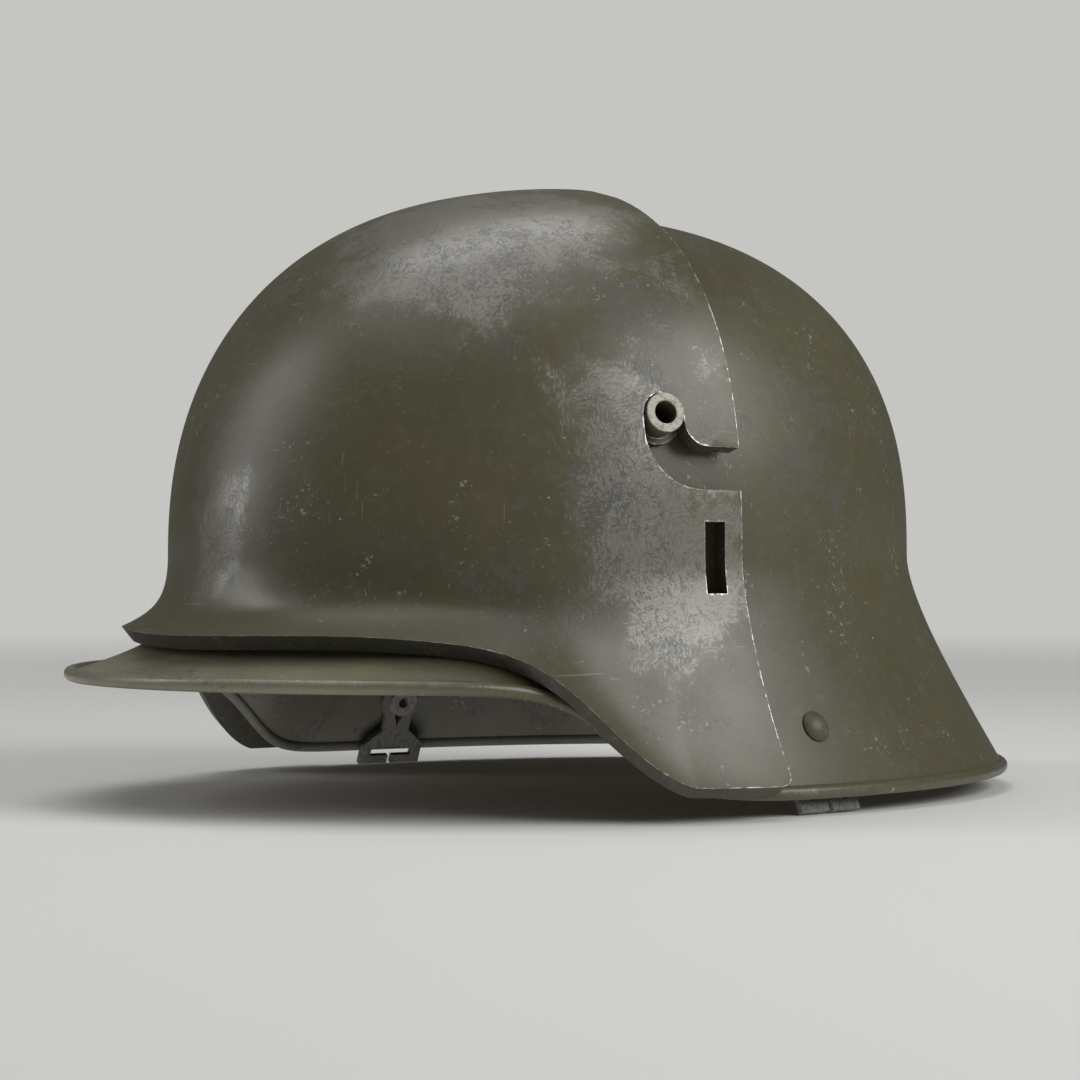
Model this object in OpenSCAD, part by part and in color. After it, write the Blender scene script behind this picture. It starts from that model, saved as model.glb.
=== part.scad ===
// Steel helmet with a flared neck skirt, a visor and a hanging brow plate.
// The front of the helmet looks along -Y, the wearer's left is +X and up is +Z.
// Z = 0 is the plane of the skirt's rim, and the origin is the centre of the head opening.
// Azimuth angles are counted from the front, towards the wearer's left.

/* [Dome] */
// Half width of the dome where its side wall stands upright
dome_half_w = 96.5; // [92:0.5:102]
// Reach of the dome in front of the centre
dome_front = 110.5; // [106:0.5:116]
// Reach of the dome behind the centre
dome_back = 119; // [114:0.5:124]
// Height of the crown above the rim
crown_h = 170; // [164:0.5:178]
// Height at which the wall stands upright
waist_h = 66; // [62:0.5:70]
// Roundness of the dome's profile at the front (2 is an ellipse, more is squarer)
front_profile = 2.2; // [2:0.05:2.5]
// Roundness of the dome's profile at the sides
side_profile = 2.55; // [2.2:0.05:2.8]
// Roundness of the dome's profile at the back
back_profile = 2.4; // [2.1:0.05:2.7]
// Roundness of the plan behind the centre
back_plan = 2.15; // [2:0.05:2.3]

/* [Visor and skirt] */
// Reach of the visor beyond the dome at the front
visor_reach = 40.5; // [36:0.5:45]
// Reach of the skirt beyond the dome at the sides
side_reach = 24; // [21:0.5:27]
// Reach of the skirt beyond the dome at the back
back_reach = 33; // [29:0.5:37]
// Height of the visor's rim above the skirt's rim
visor_h = 31.3; // [28:0.1:34]
// Azimuth at which the rim steps down from the visor to the skirt
step_azimuth = 66.8; // [63:0.1:70]
// How far the rim draws in at that step
step_tuck = 11; // [8:0.5:13]

/* [Sheet] */
// Thickness of the shell's sheet
sheet_t = 1.2; // [1:0.05:1.6]
// Radius of the rolled rim
roll_r = 2.05; // [1.8:0.05:2.4]

/* [Brow plate] */
// Thickness of the brow plate
plate_t = 5; // [4:0.1:6]
// Air gap between the shell and the plate
plate_gap = 2.8; // [2.6:0.1:3.4]
// Rear edge of the plate, behind the centre when positive
plate_rear = -5.3; // [-8:0.1:-3]
// Share of the shell's flare that the plate follows at the front
plate_brow_share = 0.7; // [0.6:0.01:0.75]
// Height of the plate's lower edge line at the ears
plate_ear_h = -1.8; // [-2.4:0.1:-1.2]
// Radius of the plate's lower rear corner
plate_corner_r = 5; // [3:0.5:7]
// Width of the strap slot
slot_w = 6.6; // [5:0.1:8]
// Height of the strap slot
slot_h = 20.2; // [16:0.1:24]
// Height of the strap slot's centre
slot_z = 66; // [64:0.5:68]
// Distance from the strap slot's centre to the plate's rear edge
slot_inset = 9.4; // [8:0.1:12]

/* [Vent lugs] */
// Outer radius of the lug
lug_r = 5.75; // [5:0.05:6.5]
// Radius of the lug's air bore
lug_bore_r = 3.25; // [2.5:0.05:3.6]
// Azimuth of the lug
lug_azimuth = 75.6; // [74:0.1:77]
// Polar angle of the lug from the crown
lug_polar = 73.4; // [72:0.1:75]
// How far the lug stands proud of the plate
lug_proud = 1.5; // [1:0.1:2.5]
// Radius of the lug's foot flange
lug_flange_r = 7.6; // [7:0.1:8.5]
// Side clearance between the lug and the plate's notch
notch_clear = 0.5; // [0.4:0.05:0.8]
// Drop of the notch below the lug before it turns back
notch_drop = 9.1; // [8.5:0.1:10]
// Height of the notch's open mouth
notch_mouth = 12.2; // [12:0.1:13.5]

/* [Strap posts and brackets] */
// Azimuth of the strap post
post_azimuth = 96.4; // [95:0.1:99]
// Place of the post down the flare, 0 at the waist and 1 at the rim
post_share = 0.72; // [0.68:0.01:0.76]
// Radius of the post's domed head
post_head_r = 4.7; // [4:0.1:5.5]
// Height of the post's domed head
post_head_h = 2.2; // [1.8:0.1:2.6]
// Radius of the journal that the bracket turns on
post_journal_r = 3.7; // [3.2:0.05:4]
// Radius of the end disc that keeps the bracket on
post_disc_r = 5; // [4.6:0.1:5.6]
// Radius of the hole down the middle of the end disc
post_hole_r = 1.9; // [1.5:0.1:2.2]
// Thickness of the bracket's sheet
bracket_t = 1.8; // [1.4:0.1:2]
// Length of the bracket from its post to its lower edge
bracket_l = 23.9; // [22:0.1:26]
// Width of the bracket's foot
bracket_w = 23; // [21:0.5:25]
// Outer radius of the bracket's loop
bracket_loop_r = 7.4; // [7:0.1:8]
// Width of the bracket's waist
bracket_waist_w = 10; // [9:0.5:12]
// Width of the slot for the chin strap
strap_slot_w = 15.5; // [14:0.1:17]
// Height of the slot for the chin strap
strap_slot_h = 2.7; // [2.2:0.1:3.2]
// Running clearance between the journal and the bracket
journal_clear = 0.05; // [0.03:0.01:0.08]

/* [Liner] */
// Thickness of the liner's leather
leather_t = 1.6; // [1.2:0.1:2]
// Thickness of the liner's carrying band
band_t = 2; // [1.6:0.1:2.4]
// Height of the carrying band
band_h = 24; // [22:1:26]
// Air gap between the shell and the carrying band
band_gap = 1.7; // [1.5:0.1:2]
// Radius of the turn at the bottom of each pad
pad_turn_r = 4.9; // [4.5:0.1:5.5]
// Half angle of a pad, seen from above
pad_half = 54; // [50:1:57]
// Width of a pad's tongue where it starts
tongue_w = 30; // [26:1:34]
// Width of a pad's tongue at its tip
tip_w = 13; // [12:0.5:15]
// Fullness of the hair cushion behind each pad
cushion_t = 6; // [5:0.5:6.5]
// Radius of the crown lace
lace_r = 0.9; // [0.7:0.1:1.1]

/* [Split pins] */
// Azimuth of the two front split pins
pin_azimuth = 50; // [47:1:53]
// Radius of a split pin's domed head
pin_head_r = 6; // [5:0.1:6.5]
// Height of a split pin's domed head
pin_head_h = 1.9; // [1.5:0.1:2]
// Radius of a split pin's shank
pin_r = 1.9; // [1.6:0.1:2.2]
// Radius of the washer under the prongs
pin_washer_r = 5.4; // [4.5:0.1:5.6]

/* [Hidden] */

$fn = 48;
fit = 0.05;             // clearance between pieces that are fixed together
cut = 30;               // length of a tool that cuts right through
steel = [0.40, 0.38, 0.32];
bare_steel = [0.56, 0.55, 0.52];
leather = [0.45, 0.30, 0.18];
cloth = [0.70, 0.66, 0.56];

front_plan = 2;                 // roundness of the plan in front of the centre
visor_spread = 2.9;             // how fast the reach grows towards the front
step_spread = 13.8;             // half width of the tuck at the rim's step, in degrees
step_run = 4.3;                 // softness of the rim's step, in degrees
rear_rise = 0.5;                // rise of the rim at the back
roll_start = 180 - asin(sheet_t / 2 / roll_r);   // angle round the roll where the sheet meets it
roll_join = 0.93;               // share of the flare at which the roll takes over

// Shares of front, side and back at an azimuth, mixed smoothly
function mixed(a, f, s, b) = let (c = cos(a))
    s + (f - s) * pow(max(c, 0), 2) + (b - s) * pow(max(-c, 0), 2);
function signed_pow(v, e) = sign(v) * pow(abs(v), e);
function plan_power(a) = cos(a) >= 0 ? front_plan : back_plan;
function plan_reach(a) = cos(a) >= 0 ? dome_front : dome_back;
function unit2(v) = v / max(norm(v), 0.000001);

// Plan of the waist and its outward normal
function waist(a) = [dome_half_w * signed_pow(sin(a), 2 / plan_power(a)),
    -plan_reach(a) * signed_pow(cos(a), 2 / plan_power(a))];
function waist_normal(a) = let (w = waist(a), n = plan_power(a), l = plan_reach(a))
    unit2([signed_pow(w[0] / dome_half_w, n - 1) / dome_half_w, signed_pow(w[1] / l, n - 1) / l]);

// Point of the dome at a polar angle from the crown, moved out by off
function dome_point(a, polar, off) = let (n = mixed(a, front_profile, side_profile, back_profile),
    r = pow(sin(polar), 2 / n), p = (waist(a) + waist_normal(a) * off) * r)
    [p[0], p[1], waist_h + (crown_h - waist_h + off) * pow(max(cos(polar), 0), 2 / n)];

// Flare from the waist to the rim: a cubic curve in the plane of the waist's normal.
// e is the rim's reach beyond the waist and z its height.
function flare_poles(a, e, z) = let (k1 = min(mixed(a, 22, 16, 13), (waist_h - z) * 0.6),
    k2 = min(mixed(a, 28.5, 20.5, 24), norm([e, waist_h - z]) * 0.6), t = mixed(a, 5, 56.5, 62))
    [[0, waist_h], [0, waist_h - k1], [e - k2 * cos(t), z + k2 * sin(t)], [e, z]];
function curve_at(p, b) = pow(1 - b, 3) * p[0] + 3 * b * pow(1 - b, 2) * p[1]
    + 3 * b * b * (1 - b) * p[2] + pow(b, 3) * p[3];
function curve_dir(p, b) = unit2(pow(1 - b, 2) * (p[1] - p[0]) + 2 * b * (1 - b) * (p[2] - p[1])
    + b * b * (p[3] - p[2]));
function lift_plan(a, ez) = let (p = waist(a) + waist_normal(a) * ez[0]) [p[0], p[1], ez[1]];
function flare_point(a, rim, b, off) = let (p = flare_poles(a, rim[0], rim[1]), d = curve_dir(p, b))
    lift_plan(a, curve_at(p, b) + [-d[1], d[0]] * off);

// The shell's rim: reach and height at an azimuth
function from_front(a) = acos(max(-1, min(1, cos(a))));
function shell_rim(a) = let (t = from_front(a), s = 1 / (1 + exp((t - step_azimuth) / step_run)),
    c = cos(a), reach = c >= 0 ? side_reach + (visor_reach - side_reach) * pow(c, visor_spread)
    : side_reach + (back_reach - side_reach) * c * c)
    [reach - step_tuck * exp(-pow((t - step_azimuth) / step_spread, 2)),
    visor_h * s + rear_rise * pow(max(0, (t - 90) / 90), 2) * (1 - s)];

// The plate's lower edge: it leaves the visor sooner than the shell's rim does
plate_step_start = step_azimuth - 26;
plate_step_end = step_azimuth + 8;
plate_tuck = 6.7;
plate_tuck_azimuth = step_azimuth - 16;
function s_step(t, m, n) = let (u = max(0.000001, min(0.999999, t)))
    pow(u, m) / (pow(u, m) + pow(1 - u, n));
function plate_rim(a) = let (t = from_front(a),
    s = s_step((t - plate_step_start) / (plate_step_end - plate_step_start), 3.4, 1.15),
    reach = side_reach + 0.6 + (visor_reach - side_reach - 0.6) * pow(abs(cos(a)), visor_spread))
    [reach - plate_tuck * exp(-pow((t - plate_tuck_azimuth) / 14, 2)),
    visor_h * (1 - s) + plate_ear_h * s];
function plate_share(a) = plate_brow_share
    + (1 - plate_brow_share) * s_step((from_front(a) - 3) / 79, 2, 2);

// Place and facing of a point on a surface, from its neighbours
function facing(p_left, p_right, p_low, p_high) = let (n = cross(p_right - p_left, p_high - p_low))
    n / norm(n);
function dome_facing(a, polar, off) = facing(dome_point(a - 1, polar, off),
    dome_point(a + 1, polar, off), dome_point(a, polar + 1, off), dome_point(a, polar - 1, off));
function flare_facing(a, rim, b, off) = facing(flare_point(a - 1, rim, b, off),
    flare_point(a + 1, rim, b, off), flare_point(a, rim, b + 0.02, off),
    flare_point(a, rim, b - 0.02, off));
function turn_of(n) = atan2(n[0], -n[1]);
function tilt_of(n) = asin(n[2]);

// Stands its children on a point: local X runs back, Y up the wall and Z out of it
module stand(place, n) {
    translate(place) rotate([90 - tilt_of(n), 0, turn_of(n)]) children();
}
module right_side() {
    mirror([1, 0, 0]) children();
}

// Closed solid from rings of points. wrap joins the last ring to the first.
function ring_faces(rings, n, wrap) = [for (i = [0 : rings - (wrap ? 1 : 2)], j = [0 : n - 1])
    let (k = (i + 1) % rings, m = (j + 1) % n)
    each [[i * n + j, k * n + j, k * n + m], [i * n + j, k * n + m, i * n + m]]];
function flat_list(v) = [for (x = v) each x];

half_azimuths = concat([for (a = [0 : 6 : 42]) a], [for (a = [45 : 3 : 87]) a],
    [for (a = [90 : 6 : 174]) a]);
around = concat(half_azimuths, [180], [for (i = [len(half_azimuths) - 1 : -1 : 1]) -half_azimuths[i]]);
dome_steps = 11;
flare_steps = 8;
roll_steps = 9;
function dome_polar(i) = 90 * pow(i / dome_steps, 0.85);

// Profile of the shell from crown to roll and back up the inside, at one azimuth
function roll_point(a, turn) = let (rim = shell_rim(a), p = flare_poles(a, rim[0], rim[1]),
    d = curve_dir(p, 1)) lift_plan(a, rim + roll_r * (cos(turn) * d + sin(turn) * [-d[1], d[0]]));
function shell_profile(a) = let (rim = shell_rim(a), h = sheet_t / 2) concat(
    [for (i = [1 : dome_steps]) dome_point(a, dome_polar(i), h)],
    [for (i = [1 : flare_steps]) flare_point(a, rim, roll_join * i / flare_steps, h)],
    [for (i = [0 : roll_steps]) roll_point(a, roll_start - 2 * roll_start * i / roll_steps)],
    [for (i = [flare_steps : -1 : 1]) flare_point(a, rim, roll_join * i / flare_steps, -h)],
    [for (i = [dome_steps : -1 : 1]) dome_point(a, dome_polar(i), -h)]);

module shell_sheet() {
    n = len(shell_profile(0));
    rings = len(around);
    top = rings * n;
    points = concat(flat_list([for (a = around) shell_profile(a)]),
        [[0, 0, crown_h + sheet_t / 2], [0, 0, crown_h - sheet_t / 2]]);
    walls = [for (i = [0 : rings - 1], j = [0 : n - 2]) let (k = (i + 1) % rings)
        each [[i * n + j, k * n + j, k * n + j + 1], [i * n + j, k * n + j + 1, i * n + j + 1]]];
    caps = [for (i = [0 : rings - 1]) let (k = (i + 1) % rings)
        each [[top, k * n, i * n], [top + 1, i * n + n - 1, k * n + n - 1]]];
    polyhedron(points = points, faces = concat(walls, caps), convexity = 6);
}

// Places of the fittings on the shell's outer face
h_out = sheet_t / 2;
lug_place = dome_point(lug_azimuth, lug_polar, h_out);
lug_facing = dome_facing(lug_azimuth, lug_polar, h_out);
post_place = flare_point(post_azimuth, shell_rim(post_azimuth), post_share, h_out);
post_facing = flare_facing(post_azimuth, shell_rim(post_azimuth), post_share, h_out);
pin_polar = 88;
function pin_place(a) = dome_point(a, pin_polar, h_out);
function pin_facing(a) = dome_facing(a, pin_polar, h_out);
lug_tail_r = 4.4;
post_shank_r = 3;

module through_hole(place, n, r) {
    stand(place, n) translate([0, 0, -cut / 2]) cylinder(r = r, h = cut);
}

module helmet_shell() {
    color(steel) difference() {
        shell_sheet();
        for (side = [0, 1]) mirror([side, 0, 0]) {
            through_hole(lug_place, lug_facing, lug_tail_r + fit);
            through_hole(post_place, post_facing, post_shank_r + fit);
            through_hole(pin_place(pin_azimuth), pin_facing(pin_azimuth), pin_r + fit);
        }
        through_hole(pin_place(180), pin_facing(180), pin_r + fit);
    }
}

// Brow plate
plate_half = concat([for (a = [0 : 5 : 40]) a], [for (a = [43 : 3 : 76]) a], [80, 84, 88, 93]);
plate_around = concat([for (i = [len(plate_half) - 1 : -1 : 1]) -plate_half[i]], plate_half);
plate_dome_steps = 11;
plate_flare_steps = 9;
plate_in = sheet_t / 2 + plate_gap;
plate_out = plate_in + plate_t;
function plate_face(a, off) = concat(
    [for (i = [1 : plate_dome_steps]) dome_point(a, 90 * pow(i / plate_dome_steps, 0.85), off)],
    [for (i = [1 : plate_flare_steps])
        flare_point(a, plate_rim(a), plate_share(a) * i / plate_flare_steps, off)]);
function reversed(v) = [for (i = [len(v) - 1 : -1 : 0]) v[i]];
function plate_profile(a) = concat([[0, 0, crown_h + plate_out]], plate_face(a, plate_out),
    reversed(plate_face(a, plate_in)), [[0, 0, crown_h + plate_in]]);

module plate_sheet() {
    n = len(plate_profile(0));
    half = n / 2;
    rings = len(plate_around);
    points = flat_list([for (a = plate_around) plate_profile(a)]);
    // the crown points of all rings are one point, so they share the first ring's
    walls = [for (i = [0 : rings - 2], j = [1 : n - 3]) let (k = i + 1)
        each [[i * n + j, k * n + j, k * n + j + 1], [i * n + j, k * n + j + 1, i * n + j + 1]]];
    crowns = [for (i = [0 : rings - 2]) let (k = i + 1)
        each [[0, k * n + 1, i * n + 1], [n - 1, i * n + n - 2, k * n + n - 2]]];
    last = (rings - 1) * n;
    start_cap = [for (j = [1 : half - 2]) each [[j, j + 1, n - 2 - j], [j, n - 2 - j, n - 1 - j]]];
    end_cap = [for (j = [1 : half - 2]) each [[last + j, last + n - 2 - j, last + j + 1],
        [last + j, last + n - 1 - j, last + n - 2 - j]]];
    crown_caps = [[0, 1, n - 2], [0, n - 2, n - 1], [0, last + n - 2, last + 1], [0, n - 1, last + n - 2]];
    polyhedron(points = points, faces = concat(walls, crowns, start_cap, end_cap, crown_caps),
        convexity = 6);
}

// Outline of the notch, round the lug: it hooks over the lug, drops and turns back to its mouth
hook_r = lug_r + notch_clear;
hook_seat = 0.3;                // air over the lug when the plate hangs on it
nose_r = 7;                     // radius of the hook's nose
notch_low = notch_drop + notch_mouth;
notch_turn_r = 17;              // radius of the notch's outer turn
notch_end = 40;
function arc(x, y, r, from, to, steps) = [for (i = [0 : steps]) let (t = from + (to - from) * i / steps)
    [x + r * cos(t), y + r * sin(t)]];
module notch_outline() {
    polygon(concat(
        arc(0, hook_seat - notch_clear, hook_r, 180, 0, 16),
        arc(hook_r + nose_r, -notch_drop + nose_r, nose_r, 180, 270, 8),
        [[notch_end, -notch_drop], [notch_end, -notch_low]],
        arc(-hook_r + notch_turn_r, -notch_low + notch_turn_r, notch_turn_r, 270, 180, 14)));
}
function plate_waist_azimuth(y) = acos(min(1, -y / (dome_front + plate_out)));
slot_azimuth = plate_waist_azimuth(plate_rear - slot_inset);
corner_azimuth = plate_waist_azimuth(plate_rear);
corner_place = flare_point(corner_azimuth, plate_rim(corner_azimuth), 1, plate_in);
corner_facing = flare_facing(corner_azimuth, plate_rim(corner_azimuth), 0.97, plate_in);
slot_facing = [waist_normal(slot_azimuth)[0], waist_normal(slot_azimuth)[1], 0];
slot_place = concat(waist(slot_azimuth) + waist_normal(slot_azimuth) * plate_in, [slot_z]);

module plate_cuts() {
    stand(lug_place, lug_facing) translate([0, 0, 0.5]) linear_extrude(height = cut) notch_outline();
    stand(slot_place, slot_facing) cube([slot_w, slot_h, cut], center = true);
    stand([corner_place[0], plate_rear, corner_place[2]], corner_facing)
        translate([0, 0, -cut / 2]) difference() {
            translate([-plate_corner_r, -plate_corner_r, 0]) cube([cut, 2 * plate_corner_r, cut]);
            translate([-plate_corner_r, plate_corner_r, -1]) cylinder(r = plate_corner_r, h = cut + 2);
        }
}

module brow_plate() {
    color(steel) difference() {
        plate_sheet();
        translate([-2 * dome_half_w, plate_rear, -cut]) cube([4 * dome_half_w, 2 * cut, 3 * crown_h / 2]);
        plate_cuts();
        right_side() plate_cuts();
    }
}

// Vent lug: a tube with a foot flange outside and a tail that is peened over a washer inside
lug_l = plate_gap + plate_t + lug_proud;
lug_flange_t = 2;
lug_washer_r = 7;
lug_washer_t = 1.1;
lug_lip_r = 5.6;
lug_lip_t = 0.8;
lug_lip_bevel = 0.5;
facet_sag = 0.35;               // how far the sheet's flat facets lie inside its true curve
// Depth of the shell's inner wall below the lug's foot, at four points of the washer's edge
function lug_gap(da, dp) = norm(dome_point(lug_azimuth + da, lug_polar + dp, 0)
    - dome_point(lug_azimuth - da, lug_polar - dp, 0));
function wall_depth(r) = let (da = r / lug_gap(0.5, 0), dp = r / lug_gap(0, 0.5))
    facet_sag + max([for (d = [[da, 0], [-da, 0], [0, dp], [0, -dp]])
        (lug_place - dome_point(lug_azimuth + d[0], lug_polar + d[1], -h_out)) * lug_facing]);
lug_washer_top = wall_depth(lug_washer_r);
module vent_lug() {
    tail = lug_washer_top + lug_washer_t + fit;
    stand(lug_place, lug_facing) color(bare_steel) difference() {
        union() {
            cylinder(r = lug_r, h = lug_l);
            cylinder(r = lug_flange_r, h = lug_flange_t);
            translate([0, 0, -tail - lug_lip_t]) cylinder(r = lug_tail_r, h = tail + lug_lip_t + 1);
            translate([0, 0, -tail - lug_lip_t])
                cylinder(r1 = lug_lip_r - lug_lip_bevel, r2 = lug_lip_r, h = lug_lip_t);
        }
        translate([0, 0, -cut / 2]) cylinder(r = lug_bore_r, h = cut);
    }
}
module vent_lug_left() { vent_lug(); }
module vent_lug_right() { right_side() vent_lug(); }

module lug_washer() {
    stand(lug_place, lug_facing) translate([0, 0, -lug_washer_top - lug_washer_t])
        color(bare_steel) difference() {
            cylinder(r = lug_washer_r, h = lug_washer_t);
            translate([0, 0, -1]) cylinder(r = lug_tail_r + fit, h = lug_washer_t + 2);
        }
}
module lug_washer_left() { lug_washer(); }
module lug_washer_right() { right_side() lug_washer(); }

// Domed head: a slice of a ball whose rim has the given radius
module domed_head(r, h) {
    ball = (r * r + h * h) / (2 * h);
    intersection() {
        translate([0, 0, h - ball]) sphere(r = ball);
        cylinder(r = r, h = h + 1);
    }
}

// Strap post: domed head outside, shank through the wall, collar, journal and end disc
post_collar_r = 5.2;
post_collar_d = 3.9;            // depth of the collar's inner end below the outer face
bracket_slack = 0.1;
journal_l = bracket_t + 2 * bracket_slack;
post_disc_t = 1.2;
post_disc_d = post_collar_d + journal_l + post_disc_t;
module strap_post() {
    stand(post_place, post_facing) color(steel) difference() {
        union() {
            translate([0, 0, post_head_seat]) domed_head(post_head_r, post_head_h);
            translate([0, 0, -post_disc_d + 0.1])
                cylinder(r = post_shank_r, h = post_disc_d + post_head_seat);
            translate([0, 0, -post_collar_d])
                cylinder(r = post_collar_r, h = post_collar_d - sheet_t - post_seat);
            translate([0, 0, -post_collar_d - journal_l]) cylinder(r = post_journal_r, h = journal_l + 0.5);
            translate([0, 0, -post_disc_d]) cylinder(r = post_disc_r, h = post_disc_t);
        }
        translate([0, 0, -post_disc_d - 1]) cylinder(r = post_hole_r, h = 5);
    }
}
post_seat = 0.45;               // the curved wall's rise over the collar's face
post_head_seat = 0.3;           // the flare's rise under the head's edge
module strap_post_left() { strap_post(); }
module strap_post_right() { right_side() strap_post(); }

// Strap bracket: a loop on the post, a waist, and a foot with the strap's slot, split below
foot_h = 9.6;                   // height of the foot
foot_bar = 3;                   // height of the split bar under the slot
foot_split = 1.5;               // width of the split
window_r = 3.9;                 // radius of the half-round window above the slot
drop_l = 9.7;                   // reach of the loop's V below the post
module bracket_outline() {
    foot_top = -bracket_l + foot_h;
    difference() {
        union() {
            circle(r = bracket_loop_r);
            polygon([[-bracket_waist_w / 2, -bracket_loop_r / 2], [-bracket_waist_w / 2, foot_top + 3],
                [-bracket_w / 2 + 1, foot_top - 1.6], [-bracket_w / 2, foot_top - 2.5],
                [-bracket_w / 2, -bracket_l], [bracket_w / 2, -bracket_l],
                [bracket_w / 2, foot_top - 2.5], [bracket_w / 2 - 1, foot_top - 1.6],
                [bracket_waist_w / 2, foot_top + 3], [bracket_waist_w / 2, -bracket_loop_r / 2]]);
        }
        circle(r = post_journal_r + journal_clear);
        polygon([[-2.6, -2.5], [0, -drop_l], [2.6, -2.5]]);
        translate([-strap_slot_w / 2, -bracket_l + foot_bar]) square([strap_slot_w, strap_slot_h]);
        translate([-foot_split / 2, -bracket_l - 1]) square([foot_split, foot_bar + 2]);
    }
}
module window_recess() {
    translate([0, -bracket_l + foot_bar + strap_slot_h, 0]) difference() {
        cylinder(r = window_r, h = bracket_t);
        translate([-cut / 2, -cut, -1]) cube([cut, cut, bracket_t + 2]);
    }
}
module strap_bracket() {
    stand(post_place, post_facing) translate([0, 0, -post_collar_d - bracket_slack - bracket_t])
        color(steel) difference() {
            linear_extrude(height = bracket_t) bracket_outline();
            translate([0, 0, -bracket_t / 2]) window_recess();
        }
}
module strap_bracket_left() { strap_bracket(); }
module strap_bracket_right() { right_side() strap_bracket(); }

// Liner band: an upright leather ring just inside the waist
band_out = -(sheet_t / 2 + band_gap);
band_in = band_out - band_t;
band_low = waist_h - 14;
band_steps = 72;
function oval(off) = [for (i = [0 : band_steps - 1]) let (a = 360 * i / band_steps)
    waist(a) + waist_normal(a) * off];
rivet_z = waist_h - 7;
rivet_r = 1.4;
function band_place(a, off, z) = let (p = waist(a) + waist_normal(a) * off) [p[0], p[1], z];
function band_facing(a) = [waist_normal(a)[0], waist_normal(a)[1], 0];
pad_centres = [60, 180, -60];
rivet_azimuths = [for (c = pad_centres, d = [-42, 0, 42]) c + d];
pin_azimuths = [pin_azimuth, 180, -pin_azimuth];

module rivet_hole(a) {
    through_hole(band_place(a, band_out, rivet_z), band_facing(a), rivet_r + fit);
}
module liner_band() {
    color(leather) difference() {
        translate([0, 0, band_low]) linear_extrude(height = band_h) difference() {
            polygon(oval(band_out));
            polygon(oval(band_in));
        }
        for (a = pin_azimuths) through_hole(pin_place(a), pin_facing(a), pin_r + fit);
        for (a = rivet_azimuths) rivet_hole(a);
    }
}

// Split pin: domed head outside, shank, and two prongs spread flat on a washer inside
pin_washer_t = 0.8;
prong_t = 0.9;
prong_l = 9;
prong_w = 3;
// depth from the shell's outer face to the band's inner face, at a pin
pin_reach = sheet_t + band_gap + band_t + 0.35;
module split_pin(a) {
    stand(pin_place(a), pin_facing(a)) color(steel) {
        domed_head(pin_head_r, pin_head_h);
        translate([0, 0, -pin_reach - pin_washer_t - prong_t])
            cylinder(r = pin_r, h = pin_reach + pin_washer_t + prong_t + 0.5);
        translate([-prong_l, -prong_w / 2, -pin_reach - pin_washer_t - prong_t])
            cube([2 * prong_l, prong_w, prong_t - fit]);
    }
}
module split_pin_left() { split_pin(pin_azimuth); }
module split_pin_right() { right_side() split_pin(pin_azimuth); }
module split_pin_rear() { split_pin(180); }
module pin_washers() {
    for (a = pin_azimuths) stand(pin_place(a), pin_facing(a))
        translate([0, 0, -pin_reach - pin_washer_t]) color(bare_steel) difference() {
            cylinder(r = pin_washer_r, h = pin_washer_t);
            translate([0, 0, -1]) cylinder(r = pin_r + fit, h = pin_washer_t + 2);
        }
}

// Liner pad: a leather flange on the band, a turn at the bottom, and a wall that rises into
// two tongues. off moves a point to either face of the leather.
flange_e = band_in - leather_t / 2 - fit;
flange_top = waist_h - 3.6;
turn_z = waist_h - 10;
wall_e = flange_e - 2 * pad_turn_r;
crown_drop = 6;                 // extra room between the tongues and the crown
tip_polar = 13;
hole_polar = 18;
pad_rows = concat([[0, flange_top], [0, turn_z]], [for (t = [45 : 45 : 180]) [1, t]],
    [for (p = [90, 84, 77, 70, 63]) [2, p]], [for (p = [55, 46, 37, 28, 20, tip_polar]) [2, p]]);
split_row = 10;                 // last row before the pad parts into tongues
pad_col_count = 8;
function liner_point(a, polar, off) = let (p = dome_point(a, polar, wall_e - off))
    [p[0], p[1], p[2] - crown_drop * cos(polar)];
function pad_point(a, row, off) = row[0] == 0 ? lift_plan(a, [flange_e + off, row[1]])
    : row[0] == 1 ? lift_plan(a, [flange_e - pad_turn_r + (pad_turn_r + off) * cos(row[1]),
    turn_z - (pad_turn_r + off) * sin(row[1])])
    : liner_point(a, row[1], off);
// half angle that a width covers at a row, from the distance to the centre
function half_angle(c, row, w) = let (p = pad_point(c, row, 0)) atan(w / 2 / norm([p[0], p[1]]));
tongue_centre = 30;
function tongue_width(i) = let (u = (i - split_row) / (len(pad_rows) - 1 - split_row))
    tongue_w + (tip_w - tongue_w) * pow(u, 0.8);
function pad_edge_in(c, i) = i <= split_row ? 0
    : tongue_centre - half_angle(c, pad_rows[i], tongue_width(i));
function pad_edge_out(c, i) = i < split_row - 3 ? pad_half
    : i <= split_row ? pad_half - (i - split_row + 3) * 2
    : tongue_centre + half_angle(c, pad_rows[i], tongue_width(i));
function pad_grid(c, side, off) = [for (i = [0 : len(pad_rows) - 1], j = [0 : pad_col_count])
    let (lo = pad_edge_in(c, i), hi = pad_edge_out(c, i))
    pad_point(c + side * (lo + (hi - lo) * j / pad_col_count), pad_rows[i], off)];

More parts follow.
